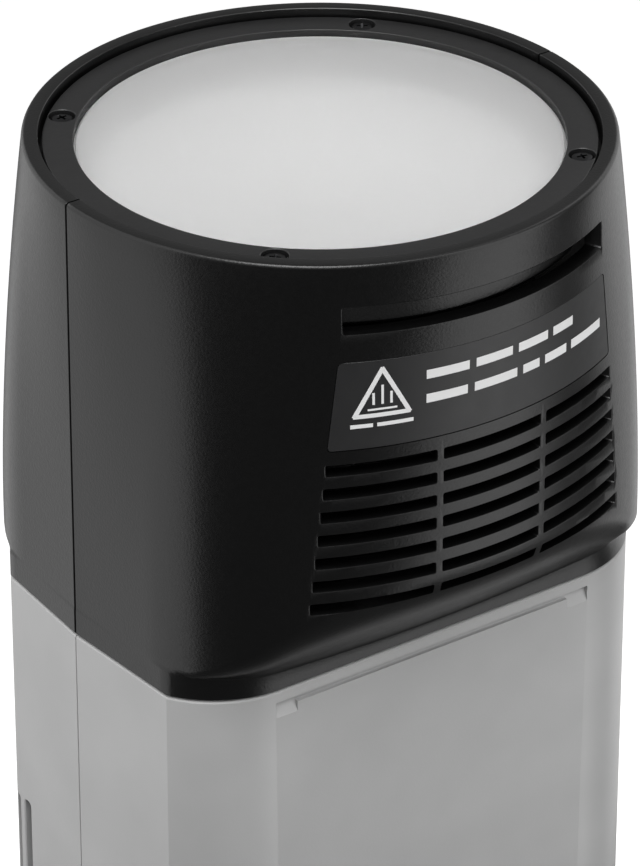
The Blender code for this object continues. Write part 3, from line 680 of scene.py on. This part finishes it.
def wall_angle(half, x, height):
    angle = math.pi / 2
    for _ in range(8):
        angle = math.acos(min(abs(x) / wall_radius(half, angle, height), 1.0))
    return angle


def on_wall(half, x, height, proud):
    """A point over the head's wide face, at x across and a height above the body."""
    angle = wall_angle(half, x, height)
    return at(half, angle, 1 if x >= 0 else -1, wall_radius(half, angle, height) + proud, BODY_TOP + height)


def wall_plug(half, outline_at, levels):
    """A cutter square to the wall: an outline of (x, height) grown at each (proud, growth) level."""
    work = bmesh.new()
    loops = []
    for proud, growth in levels:
        loops.append([work.verts.new(on_wall(half, x, h, proud)) for x, h in outline_at(growth)])
    skin(work, loops, strips=True)
    return work


def bar_outline(left, right, bottom, top, corner, grown, columns=16):
    """A rounded bar as (x, height) points, with points along its long sides so that it can bend."""
    left, right, bottom, top = left - grown, right + grown, bottom - grown, top + grown
    corner += max(grown, 0.0)
    points = []
    for cx, cy, quarter in ((right - corner, top - corner, 0), (left + corner, top - corner, 1),
                            (left + corner, bottom + corner, 2), (right - corner, bottom + corner, 3)):
        for step in range(4):
            turn = math.pi / 2 * (quarter + step / 3)
            points.append((cx + corner * math.cos(turn), cy + corner * math.sin(turn)))
        if quarter in (0, 2):
            start, end = (right, left) if quarter == 0 else (left, right)
            reach = corner if quarter == 0 else -corner
            level = top if quarter == 0 else bottom
            for i in range(1, columns):
                points.append((start - reach + (end - start + 2 * reach) * i / columns, level))
    return points


# How far each level of a cutter stands proud of the wall, and how much its outline is grown there.
MOUTH = ((-9.0, 0.0), (-0.16, 0.0), (-0.05, 0.04), (0.02, 0.16), (1.0, 1.1))
SLOT_MOUTH = ((-4.6, 0.0),) + MOUTH[1:]


def vent_plugs(half):
    top_half, bottom_half = VENT_HALF_WIDTH
    for row in range(VENT_ROWS):
        reach = top_half + (bottom_half - top_half) * row / (VENT_ROWS - 1)
        top = VENT_TOP_H - row * VENT_PITCH
        bottom = top - VENT_HEIGHT
        for left, right in ((-reach, -VENT_RIB[1]), (-VENT_RIB[0], VENT_RIB[0]), (VENT_RIB[1], reach)):
            def outline(grown, left=left, right=right, bottom=bottom, top=top):
                return bar_outline(left, right, bottom, top, 0.2, grown)
            yield wall_plug(half, outline, MOUTH)


def label_patch(back, face, grown):
    """A thin plate that follows the wall, as a grid across the label's outline."""
    bottom, top = LABEL_H[0] - grown, LABEL_H[1] + grown
    rows, columns, corner = 26, 60, LABEL_CORNER_R + grown
    layers = []
    work = bmesh.new()
    for proud, eased in ((back, 0.0), (face - 0.07, 0.0), (face, 0.07)):
        layer = []
        for row in range(rows + 1):
            share = (1 - math.cos(math.pi * row / rows)) / 2
            height = bottom + eased + (top - bottom - 2 * eased) * share
            lean = (height - bottom) / (top - bottom)
            reach = LABEL_HALF_WIDTH[0] + (LABEL_HALF_WIDTH[1] - LABEL_HALF_WIDTH[0]) * lean + grown - eased
            from_end = min(height - bottom, top - height)
            if from_end < corner:
                reach -= corner - math.sqrt(corner ** 2 - (corner - from_end) ** 2)
            line = [work.verts.new(on_wall(-1, reach * (2 * i / columns - 1), height, proud))
                    for i in range(columns + 1)]
            layer.append(line)
        layers.append(layer)
    for layer in (layers[0], layers[-1]):
        for first, second in zip(layer, layer[1:]):
            for i in range(columns):
                work.faces.new((first[i], first[i + 1], second[i + 1], second[i]))
    for inner, outer in zip(layers, layers[1:]):
        edge_in, edge_out = border(inner), border(outer)
        for i in range(len(edge_in)):
            j = (i + 1) % len(edge_in)
            work.faces.new((edge_in[i], edge_in[j], edge_out[j], edge_out[i]))
    return work


def border(layer):
    """The vertices round the edge of a grid."""
    right = [line[-1] for line in layer[1:-1]]
    left = [line[0] for line in layer[1:-1]]
    return layer[0] + right + layer[-1][::-1] + left[::-1]


def stroke(work, path, width, proud, thick=0.03):
    """A printed line on the label: a thin strip of even width along (x, height) points."""
    loops = []
    for i, here in enumerate(path):
        before, after = Vector(path[max(i - 1, 0)]), Vector(path[min(i + 1, len(path) - 1)])
        run = (after - before).normalized()
        across = Vector((-run.y, run.x)) * width / 2
        here = Vector(here)
        left, right = here + across, here - across
        loops.append([work.verts.new(on_wall(-1, *spot, height)) for spot, height in
                      ((left, proud), (right, proud), (right, proud + thick), (left, proud + thick))])
    skin(work, loops)


def fine_line(start, end, step=0.5):
    start, end = Vector(start), Vector(end)
    count = max(2, round((end - start).length / step))
    return [tuple(start.lerp(end, i / count)) for i in range(count + 1)]


def label_marks(proud):
    """Generic marks: a plain triangle outline, and plain bars in place of words."""
    work = bmesh.new()
    apex, left, right, width = (-15.25, 47.2), (-18.5, 40.95), (-12.0, 40.95), 0.55
    for start, end in ((apex, left), (left, right), (right, apex)):
        start, end = Vector(start), Vector(end)
        run = (end - start).normalized() * width * 0.28
        stroke(work, fine_line(start - run, end + run), width, proud)
    for x in (-16.3, -15.25, -14.2):
        top = 45.0 if x == -15.25 else 44.0
        stroke(work, fine_line((x, 42.4), (x, top)), 0.3, proud)
    stroke(work, fine_line((-17.0, 41.75), (-13.5, 41.75)), 0.25, proud)
    rows = ((45.4, 1.2, -10.2, (6.2, 5.9, 5.4, 4.2)), (42.1, 1.2, -10.2, (6.0, 6.9, 3.2, 4.4, 6.8)))
    for height, thickness, x, words in rows:
        for word in words:
            stroke(work, fine_line((x + 0.35, height), (x + word - 0.1, height)), thickness, proud)
            x += word + 0.55
    stroke(work, fine_line((-19.0, 39.65), (-16.4, 39.65)), 0.5, proud)
    stroke(work, fine_line((-15.9, 39.65), (-11.5, 39.65)), 0.5, proud)
    return work


def screw_spots():
    for quarter in range(4):
        turn = math.radians(45 + 90 * quarter)
        yield quarter + 1, Vector((math.cos(turn), math.sin(turn), 0)) * SCREW_CIRCLE_R


def slot_outline(grown):
    return bar_outline(-SLOT_HALF_WIDTH, SLOT_HALF_WIDTH, *SLOT_H, 0.3, grown, columns=40)


def head_shells():
    """Both halves of the head's wall. The label's bed has to be cut first."""
    for half, name in ((-1, "head_shell_front"), (1, "head_shell_rear")):
        steps = [("cut", label_patch(-0.9, 1.0, LABEL_GAP))] if half < 0 else []
        steps += [("cut", plug) for plug in vent_plugs(half)]
        for _, spot in screw_spots():
            if spot.y * half > 0:
                foot = spot + Vector((0, 0, BODY_TOP + LEDGE_H[0] - 1))
                steps.append(("cut", rod(foot, (0, 0, 1), 4, 1.2, 16)))
        if half < 0:
            steps.append(("cut", wall_plug(-1, slot_outline, SLOT_MOUTH)))
        work = shaped(head_half(half), steps)
        remake(name, work, "head", "head_black")
    remake("label_plate", label_patch(-0.6, LABEL_PROUD, 0.0), "head", "label")
    marks = label_marks(LABEL_PROUD - 0.005)
    publish("label_marks", marks, "head", "label", sharp=40, material="label_marks")


def accessory_ring():
    inner, outer = RING_R
    bottom = LEDGE_H[1] + 0.3 + BODY_TOP
    profile = [(outer, RING_TOP), (outer, bottom), (31.5, bottom), (31.5, RING_TOP - 1.2),
               (inner, RING_TOP - 1.2), (inner, RING_TOP)]
    work = turned(rounded(profile, [0.25, 0, 0, 0, 0, 0.18], 4), 180)
    steps = []
    for _, spot in screw_spots():
        cone = [(0, RING_TOP + 1), (2.8, RING_TOP + 1), (1.8, RING_TOP), (1.72, RING_TOP - 0.08),
                (1.72, RING_TOP - 0.95), (1.1, RING_TOP - 0.95), (1.1, bottom - 1), (0, bottom - 1)]
        steps.append(("cut", turned(cone, 40, spot, closed=False)))
    remake("accessory_ring", shaped(work, steps), "head", "ring_black")


def screw(name, face, axis, head_r, head_h, shaft_r, shaft_l, body, spin=0.0):
    """A pan-head screw, from the middle of its face, with a crowned head and a cross recess."""
    profile = [(0, 0.0), (head_r * 0.55, -0.03), (head_r * 0.85, -0.12), (head_r, -0.35), (head_r, -head_h),
               (shaft_r, -head_h), (shaft_r, -head_h - shaft_l), (0, -head_h - shaft_l)]
    work = turned(profile, 48, face, axis, closed=False)
    arms = []
    for quarter in (0.0, math.pi / 2):
        arms.append(("cut", cross_arm(face, axis, head_r, head_h * 0.75, spin + quarter)))
    remake(name, shaped(work, arms), body, "screw_black")


def cross_arm(face, axis, size, depth, spin):
    work = bmesh.new()
    added = bmesh.ops.create_cube(work, size=1.0)["verts"]
    for vert in added:
        deep = vert.co.z < 0
        vert.co.x *= size * (0.6 if deep else 1.25)
        vert.co.y *= size * (0.16 if deep else 0.28)
        vert.co.z = -depth if deep else 0.4
    place(work, added, Matrix.Translation(face) @ facing(axis) @ Matrix.Rotation(spin, 4, "Z"))
    return work


def ring_screws():
    for number, spot in screw_spots():
        name = f"ring_screw_{number}"
        top, bottom = high(name).z, low(name).z
        screw(name, spot + Vector((0, 0, top)), (0, 0, 1), 1.5, 0.8, 0.9, top - 0.8 - bottom, "head",
              math.radians(20 + 37 * number))


def lamp_collar():
    """The collar behind the upper slot. Its outside leans in towards the top, and its foot is rounded."""
    foot, top = BODY_TOP + 51.7, high("lamp_collar").z
    profile = [(34.2, foot), (32.7, top), (31.7, top), (31.7, foot)]
    remake("lamp_collar", turned(rounded(profile, [0.25, 0.1, 0, 0.2], 4), 160), "head", "head_black")


def front_glass():
    flange = high("front_glass").x
    bottom = low("front_glass").z
    step = GLASS_TOP - 0.7
    profile = [(0, GLASS_TOP), (GLASS_R * 0.5, GLASS_TOP), (GLASS_R, GLASS_TOP), (GLASS_R, step),
               (flange, step), (flange, bottom), (0, bottom)]
    profile = rounded(profile, [0, 0, 0.18, 0, 0.1, 0.1, 0], 4, closed=False)
    remake("front_glass", turned(profile, 180, closed=False), "head", "frosted_glass")


# ---- body

def slab(bottom, top, edge=0.5):
    """The full body section between two heights, with its top and bottom edges rounded."""
    work = prism(body_outline(), bottom, top)
    flat = [e for e in work.edges if abs(e.verts[0].co.z - e.verts[1].co.z) < 0.001]
    bmesh.ops.bevel(work, geom=flat, offset=edge, segments=4, profile=0.5, affect="EDGES")
    return work


def grey_shell(node, body, bottom, top, steps):
    remake(node, shaped(slab(bottom, top), steps, 20), body, "body_grey", sharp=20)


def seam_grooves(half_width=0.14):
    """A V along the seam on each narrow side, as two upright square bars set on edge."""
    work = bmesh.new()
    for side in (1, -1):
        added = bmesh.ops.create_cube(work, size=1.0)["verts"]
        spin = Matrix.Rotation(math.pi / 4, 4, "Z")
        size = Matrix.Diagonal((half_width * math.sqrt(2), half_width * math.sqrt(2), 400, 1))
        place(work, added, Matrix.Translation((side * BODY_RIDGE_X, SEAM_Y, 100)) @ spin @ size)
    return work


def node_outline(node, across, gap, radius, follow=0):
    """A rounded rectangle round a node over two axes. With follow, its corners grow with it."""
    a, b = low(node), high(node)
    half_u, half_v = ((b[i] - a[i]) / 2 + gap for i in across)
    centre = [(a[i] + b[i]) / 2 for i in across]

    def outline(grown):
        return round_rect(half_u + grown, half_v + grown, max(radius + follow * grown, 0.05), centre)
    return outline


def window(node, across, gap, radius, face, depth):
    """A chamfered cutter through a wall round a node, from outside the wall to a depth inside."""
    ease = 0.18
    levels = [(face - depth, 0.0), (face - ease, 0.0), (face, ease), (face + 2, ease + 1.0)]
    return flared(node_outline(node, across, gap, radius), levels, "x" if across == YZ else "y")


def corner_vents():
    """Upright slots round the rear corner of the -X side, each cut square to the wall."""
    line = BODY_SIDES[1]
    along = Vector((-math.sin(line[0]), math.cos(line[0])))
    z_mid, z_half = sum(CORNER_VENT_Z) / 2, (CORNER_VENT_Z[1] - CORNER_VENT_Z[0]) / 2
    for slot in range(5):
        travel = (slot - 1) * CORNER_VENT_PITCH
        if travel < 0:
            spot, turn = BODY_CREASE + along * travel, line[0]
        else:
            turn = CREASE_TURN + travel / BODY_CORNER_R
            spot = on_circle(BODY_CORNER, BODY_CORNER_R, turn)

        def outline(grown):
            return round_rect(CORNER_VENT_WIDTH / 2 + grown, z_half + grown, 0.7, (0, z_mid))
        work = flared(outline, [(-5, 0), (-0.15, 0), (0.02, 0.15), (2, 1.2)], "x")
        spin = Matrix.Rotation(math.pi - turn, 4, "Z")
        yield place(work, work.verts, Matrix.Translation((-spot.x, spot.y, 0)) @ spin)


def end_pockets():
    face = -BODY_DEPTH / 2
    for inner, outer in ((-21.3, -24.55), (21.3, 24.55)):
        work = bmesh.new()
        section = ((0.75, -1.7), (-1.0, -1.7), (-1.0, -3.9), (-0.02, -3.9), (0.06, -3.7))
        loops = [[work.verts.new((x, face + y, BODY_TOP + h)) for y, h in section] for x in (inner, outer)]
        skin(work, loops)
        yield work


def body_steps(half, bottom):
    top = BODY_TOP
    panel_outline = node_outline("panel_plate", YZ, 0.15, 1.2)
    mouth = box((-21.5, -12.5, top - 5), (21.5, 12.5, top + 5))
    return [("cut", prism(body_outline(WALL), bottom + WALL, top - WALL)), ("keep", half_space(half)),
            ("cut", mouth), ("cut", flared(panel_outline, [(30, 0), (45, 0)], "x")), ("cut", seam_grooves())]


def seam_lips():
    """Strips inside the front shell that reach behind the rear shell's edge, against light through the seam."""
    floor, roof = 90.4, BODY_TOP - 2.3
    panel_low, panel_high = low("panel_plate").z - 0.6, high("panel_plate").z + 0.6
    steps = []
    for side, bottom, top in ((-1, floor, roof), (1, floor, panel_low), (1, panel_high, roof)):
        for near, far, reach in ((34.5, 35.7, 0.8), (34.5, 35.2, 1.9)):
            x_low, x_high = sorted((side * near, side * far))
            steps.append(("join", box((x_low, -1.0, bottom), (x_high, reach, top))))
    return steps


def bay_seal():
    """The foam strips that the battery is pressed against."""
    work = bmesh.new()
    for side in (-1, 1):
        x_low, x_high = sorted((side * 33.2, side * 34.8))
        soft_box((x_low, 0.72, 2.6), (x_high, 1.05, 90.2), 0.12, 2, work)
    publish("bay_seal", work, "root", "rubber")


def front_shell():
    face = -BODY_DEPTH / 2
    ledge = soft_box((-24.6, face - 1, BODY_TOP - 2.45), (24.6, face + 0.55, BODY_TOP - 1.6), 0.2)
    bush, base = middle("tripod_bush_side"), middle("tripod_bush_base")
    hinge = low("port_cover").z + 0.6
    cover_y = middle("port_cover").y

    def port_outline(grown):
        low_z, high_z = hinge - 0.95, high("port_cover").z + 0.25
        return round_rect(5.75 + grown, (high_z - low_z) / 2 + grown, 0.8, (cover_y, (low_z + high_z) / 2))

    def switch_outline(grown):
        return round_rect(2.8 + grown, 6.3 + grown, 0.8, (-8.5, 80.0))
    steps = body_steps(-1, 0.0) + seam_lips()
    steps += [("cut", ledge), *(("cut", pocket) for pocket in end_pockets())]
    steps += [("cut", flared(port_outline, [(-45, 0), (-32, 0)], "x")),
              ("cut", rod((-45, bush.y, bush.z), (1, 0, 0), 15, 6.2, 64)),
              ("cut", rod((base.x, base.y, -3), (0, 0, 1), 8, 6.2, 64)),
              ("cut", flared(switch_outline, [(32, 0), (42, 0)], "x"))]
    grey_shell("body_shell_front", "root", 0.0, BODY_TOP, steps)


def rear_shell():
    bottom = low("body_shell_rear").z
    steps = body_steps(1, bottom) + [("cut", vent) for vent in corner_vents()]
    steps.append(("cut", window("head_release", XZ, 0.25, 1.0, BODY_DEPTH / 2, 5.0)))
    for number in range(1, 5):
        spot = middle(f"shell_screw_{number}")
        profile = [(0, 4), (3.2, 4), (2.75, 0.02), (2.6, -0.15), (2.6, -1.1), (1.5, -1.1), (1.5, -6), (0, -6)]
        steps.append(("cut", turned(profile, 40, (spot.x, BODY_DEPTH / 2, spot.z), (0, 1, 0), closed=False)))
    grey_shell("body_shell_rear", "root", bottom, BODY_TOP, steps)


def battery_case():
    top = high("battery_case").z
    wall, front = 1.2, SEAM_Y + SEAM_HALF
    steps = [("cut", prism(body_outline(wall), wall, top - wall)),
             ("keep", box((-REACH, front, -5), (REACH, REACH, 120))),
             ("cut", seam_grooves()),
             ("cut", window("battery_latch", XZ, 0.25, 1.0, BODY_DEPTH / 2, 5.0))]
    for rib in range(7):
        z = 16.0 + rib * 4.0
        groove = soft_box((-17, BODY_DEPTH / 2 - 0.35, z - 0.6), (17, BODY_DEPTH / 2 + 2, z + 0.6), 0.3, 2)
        steps.append(("cut", groove))
    grey_shell("battery_case", "battery", 0.0, top, steps)


def shell_screws():
    for number in range(1, 5):
        name = f"shell_screw_{number}"
        spot = middle(name)
        face, foot = high(name).y, low(name).y
        screw(name, Vector((spot.x, face, spot.z)), (0, 1, 0), 2.3, 0.8, 1.2, face - 0.8 - foot, "root",
              math.radians(15 + 50 * number))


def bush(name, axis):
    """A threaded bush: an eased face, and a thread of fine rings down its hole."""
    centre, axis = middle(name), Vector(axis)
    length = abs((high(name) - low(name)).dot(axis))
    foot = centre - axis * length / 2
    floor, crest, root_r, pitch = 2.0, 2.95, 3.2, 1.27
    inner = [(0, floor), (crest, floor)]
    for turn in range(int((length - floor - 0.8) / pitch)):
        z = floor + turn * pitch
        inner += [(root_r, z + pitch * 0.5), (crest, z + pitch)]
    inner += [(crest, length - 0.7), (3.5, length)]
    outer = [(5.75, length), (6.0, length - 0.25), (6.0, 0), (0, 0)]
    work = turned((inner + outer)[::-1], 64, foot, axis, closed=False)
    remake(name, work, "root", "steel")


# ---- controls

def plate_x(node, radius, edge=0.3):
    """A plate or key that faces along X, with rounded corners and an eased outer face."""
    back, face = low(node).x, high(node).x
    levels = [(back, 0.0), (face - edge, 0.0), (face - edge * 0.35, -edge * 0.3), (face, -edge)]
    return flared(node_outline(node, YZ, 0.0, radius, follow=1), levels, "x")


def control_panel():
    face = high("panel_plate").x
    holes = [window("display_window", YZ, 0.12, 0.6, face, 4)]
    for number in range(1, 5):
        holes.append(window(f"menu_button_{number}", YZ, 0.22, 0.7, face, 4))
    for node, gap in (("select_dial", 0.3), ("test_button", 0.22)):
        spot, radius = middle(node), (high(node).z - low(node).z) / 2 + gap
        profile = [(0, 3), (radius + 2, 3), (radius + 0.2, 0.02), (radius, -0.18), (radius, -5), (0, -5)]
        holes.append(turned(profile, 96, (face, spot.y, spot.z), (1, 0, 0), closed=False))
    steps = [("cut", hole) for hole in holes]
    remake("panel_plate", shaped(plate_x("panel_plate", 1.1, 0.25), steps), "root", "panel")
    remake("display_window", plate_x("display_window", 0.5, 0.2), "root", "display")
    publish("display_marks", display_marks(face + 0.2), "root", "panel", sharp=40)


def display_marks(face):
    """What the display shows: a power scale of bars, a frame line and two plain blocks."""
    a, b = low("display_window"), high("display_window")
    work = bmesh.new()
    left, right, bottom, top = a.y + 2.0, b.y - 2.0, a.z + 2.0, b.z - 2.0
    thick = 0.05
    for z in (bottom, top - 6.0):
        box((face - thick, left, z - 0.12), (face, right, z + 0.12), work)
    count = 9
    for bar in range(count):
        y = left + (right - left) * (bar + 0.5) / count
        tall = 1.2 + 0.45 * bar
        box((face - thick, y - 0.6, bottom + 1.0), (face, y + 0.6, bottom + 1.0 + tall), work)
    for y, width in ((left + 0.5, 7.0), (left + 10.0, 4.5)):
        box((face - thick, y, top - 4.4), (face, y + width, top - 1.2), work)
    return work


def menu_keys():
    for number in range(1, 5):
        name = f"menu_button_{number}"
        remake(name, plate_x(name, 0.6, 0.35), name, "key")


def select_dial():
    """A turning ring with a fluted edge and one tick."""
    name = "select_dial"
    spot, back, face = middle(name), low(name).x, high(name).x
    inner, outer = 4.2, (high(name).z - low(name).z) / 2
    profile = [(outer, face), (outer, back), (inner, back), (inner, face)]
    ring = turned(rounded(profile, [0.7, 0, 0, 0.3], 5), 144, (0, spot.y, spot.z), (1, 0, 0))
    steps = []
    for tooth in range(DIAL_FLUTES):
        turn = math.tau * tooth / DIAL_FLUTES
        rim = Vector((0, math.cos(turn), math.sin(turn))) * (outer + 0.12)
        foot = Vector((back - 1, spot.y, spot.z)) + rim
        steps.append(("cut", rod(foot, (1, 0, 0), face - back + 2, 0.42, 10)))
    tick_foot, tick_head = (face - 0.25, spot.y - 0.35, spot.z + 5.2), (face + 1, spot.y + 0.35, spot.z + 7.4)
    steps.append(("cut", soft_box(tick_foot, tick_head, 0.15, 2)))
    remake(name, shaped(ring, steps), name, "key")


def round_keys():
    """Round buttons with dished faces."""
    for name, dish, slot in (("set_button", 0.35, "key"), ("test_button", 0.2, "red_key")):
        spot, back, face = middle(name), low(name).x, high(name).x
        radius = (high(name).z - low(name).z) / 2
        profile = [(0, face - dish), (radius * 0.4, face - dish * 0.8), (radius * 0.75, face - dish * 0.2),
                   (radius - 0.25, face), (radius, face - 0.3), (radius, back), (0, back)]
        work = turned(rounded(profile, [0, 0, 0.3, 0.15, 0.1, 0, 0], 3, closed=False), 64, (0, spot.y, spot.z),
                      (1, 0, 0), closed=False)
        remake(name, work, name, slot)


def power_switch():
    a, b = low("power_switch"), high("power_switch")
    work = soft_box(a, b, 0.35, 3)
    steps = []
    for rib in range(GRIP_RIBS):
        z = a.z + 1.3 + rib * 1.15
        steps.append(("cut", rod((b.x + 0.15, a.y - 1, z), (0, 1, 0), 8, 0.4, 12)))
    remake("power_switch", shaped(work, steps), "power_switch", "key")


def rear_keys():
    for name in ("head_release", "battery_latch"):
        a, b = low(name), high(name)
        work = soft_box(a, b, 0.45, 3)
        steps = []
        for rib in range(GRIP_RIBS):
            x = (a.x + b.x) / 2 + (rib - 2) * 1.7
            groove = soft_box((x - 0.35, b.y - 0.3, a.z + 0.9), (x + 0.35, b.y + 1, b.z - 0.9), 0.15, 2)
            steps.append(("cut", groove))
        remake(name, shaped(work, steps), name, "key")


def port_cover():
    a, b = low("port_cover"), high("port_cover")
    work = soft_box((a.x, a.y, a.z + 0.3), b, 0.3, 3)
    lip = soft_box((a.x - 0.25, a.y + 1.5, b.z - 2.4), (a.x + 0.4, b.y - 1.5, b.z - 1.5), 0.2, 2)
    hinge = rod((b.x - 0.6, a.y + 0.02, a.z + 0.6), (0, 1, 0), b.y - a.y - 0.04, 0.6, 24)
    remake("port_cover", shaped(work, [("join", lip), ("join", hinge)]), "port_cover", "rubber")


# ---- stage

AZIMUTH, ELEVATION = math.radians(-35.49), math.radians(29.38)
CAMERA_AT = Vector((-0.35859, -0.50286, 0.53336))
LENS = 229.3

AMBIENT = 0.25
FLOOR_BOUNCE = 0.08
FLOOR_GLOW = 0.45

# Light panels round the object: the sector in degrees, and how bright the face looks.
PANEL_REACH, PANEL_TALL = 0.23, 0.7
PANELS = {
    "rear_left_panel": (-185, -116, 0.8),
    "left_panel": (-116, -85, 1.0),
    "right_panel": (8, 50, 1.45),
    "rear_right_panel": (80, 120, 0.88),
}
# Softboxes overhead: the elevation in degrees, the height in metres, and how bright the face looks.
SOFTBOX_AZIMUTH, SOFTBOX_DISTANCE, SOFTBOX_WIDTH = -45, 1.2, 0.7
SOFTBOXES = {"high_box": (62, 0.7, 8.0), "front_box": (35, 0.5, 1.6)}


def away(azimuth, elevation):
    """The direction from the object towards a viewer or a lamp. Azimuth 0 is -Y."""
    return Vector((math.sin(azimuth) * math.cos(elevation), -math.cos(azimuth) * math.cos(elevation),
                   math.sin(elevation)))


def aimed(name, data, spot, direction):
    """Stands a camera or a lamp on a spot with its back towards a direction."""
    thing = bpy.data.objects.new(name, data)
    thing.location = spot
    thing.rotation_euler = direction.to_track_quat("Z", "Y").to_euler()
    bpy.context.scene.collection.objects.link(thing)
    return thing


def camera():
    data = bpy.data.cameras.new("camera")
    data.lens = LENS
    data.sensor_width = 36.0
    data.clip_start = 0.02
    bpy.context.scene.camera = aimed("camera", data, CAMERA_AT, away(AZIMUTH, ELEVATION))


def panel(name, azimuth_from, azimuth_to, radiance):
    """A tall light panel that stands on the floor across a sector."""
    half = math.radians(azimuth_to - azimuth_from) / 2
    width = 2 * PANEL_REACH * math.sin(half)
    direction = away(math.radians(azimuth_from) + half, 0)
    target = Vector((0, 0, PANEL_TALL / 2))
    area_light(name, target + direction * PANEL_REACH * math.cos(half), direction, width, PANEL_TALL, radiance)


def softbox(name, elevation, height, radiance):
    direction = away(math.radians(SOFTBOX_AZIMUTH), math.radians(elevation))
    spot = Vector((0, 0, 0.16)) + direction * SOFTBOX_DISTANCE
    area_light(name, spot, direction, SOFTBOX_WIDTH, height, radiance)


def area_light(name, spot, direction, width, height, radiance):
    """An area light with its size in metres, given by how bright its face looks."""
    data = bpy.data.lights.new(name, "AREA")
    data.shape = "RECTANGLE"
    data.size, data.size_y = width, height
    data.energy = radiance * math.pi * width * height
    aimed(name, data, spot, direction)


def seen_or_not(tree, seen, otherwise):
    """A value that is one thing where the camera looks at it, and another for all other rays."""
    path = tree.nodes.new("ShaderNodeLightPath")
    value = tree.nodes.new("ShaderNodeMapRange")
    value.inputs["To Min"].default_value = otherwise
    value.inputs["To Max"].default_value = seen
    tree.links.new(path.outputs["Is Camera Ray"], value.inputs["Value"])
    return value.outputs["Result"]


def studio_world():
    world = bpy.data.worlds.new("studio")
    world.use_nodes = True
    bpy.context.scene.world = world
    background = world.node_tree.nodes["Background"]
    background.inputs["Color"].default_value = (1, 1, 1, 1)
    world.node_tree.links.new(seen_or_not(world.node_tree, 1.0, AMBIENT), background.inputs["Strength"])


def floor():
    """A pale floor. A low bounce keeps the dark walls dark, as a flag in front of them would."""
    work = bmesh.new()
    bmesh.ops.create_grid(work, x_segments=8, y_segments=8, size=3000)
    thing = plain("floor", work)
    nodes = Nodes("floor", (0.9, 0.9, 0.9), 0.8, specular=0.1)
    shade = nodes.tree.nodes.new("ShaderNodeCombineColor")
    grey = seen_or_not(nodes.tree, 0.9, FLOOR_BOUNCE)
    for channel in ("Red", "Green", "Blue"):
        nodes.link(grey, shade.inputs[channel])
    nodes.link(shade.outputs["Color"], nodes.shader.inputs["Base Color"])
    nodes.shader.inputs["Emission Color"].default_value = (1, 1, 1, 1)
    nodes.link(seen_or_not(nodes.tree, FLOOR_GLOW, 0.0), nodes.shader.inputs["Emission Strength"])
    thing.data.materials.append(nodes.material)


def stage():
    for name, facts in PANELS.items():
        panel(name, *facts)
    for name, facts in SOFTBOXES.items():
        softbox(name, *facts)
    studio_world()
    floor()
    bpy.context.scene.view_settings.view_transform = "Standard"


def main():
    camera()
    stage()
    finish_cad_nodes()
    head_shells()
    accessory_ring()
    ring_screws()
    lamp_collar()
    front_glass()
    front_shell()
    rear_shell()
    bay_seal()
    battery_case()
    shell_screws()
    bush("tripod_bush_side", (-1, 0, 0))
    bush("tripod_bush_base", (0, 0, -1))
    control_panel()
    menu_keys()
    select_dial()
    round_keys()
    power_switch()
    rear_keys()
    port_cover()


main()
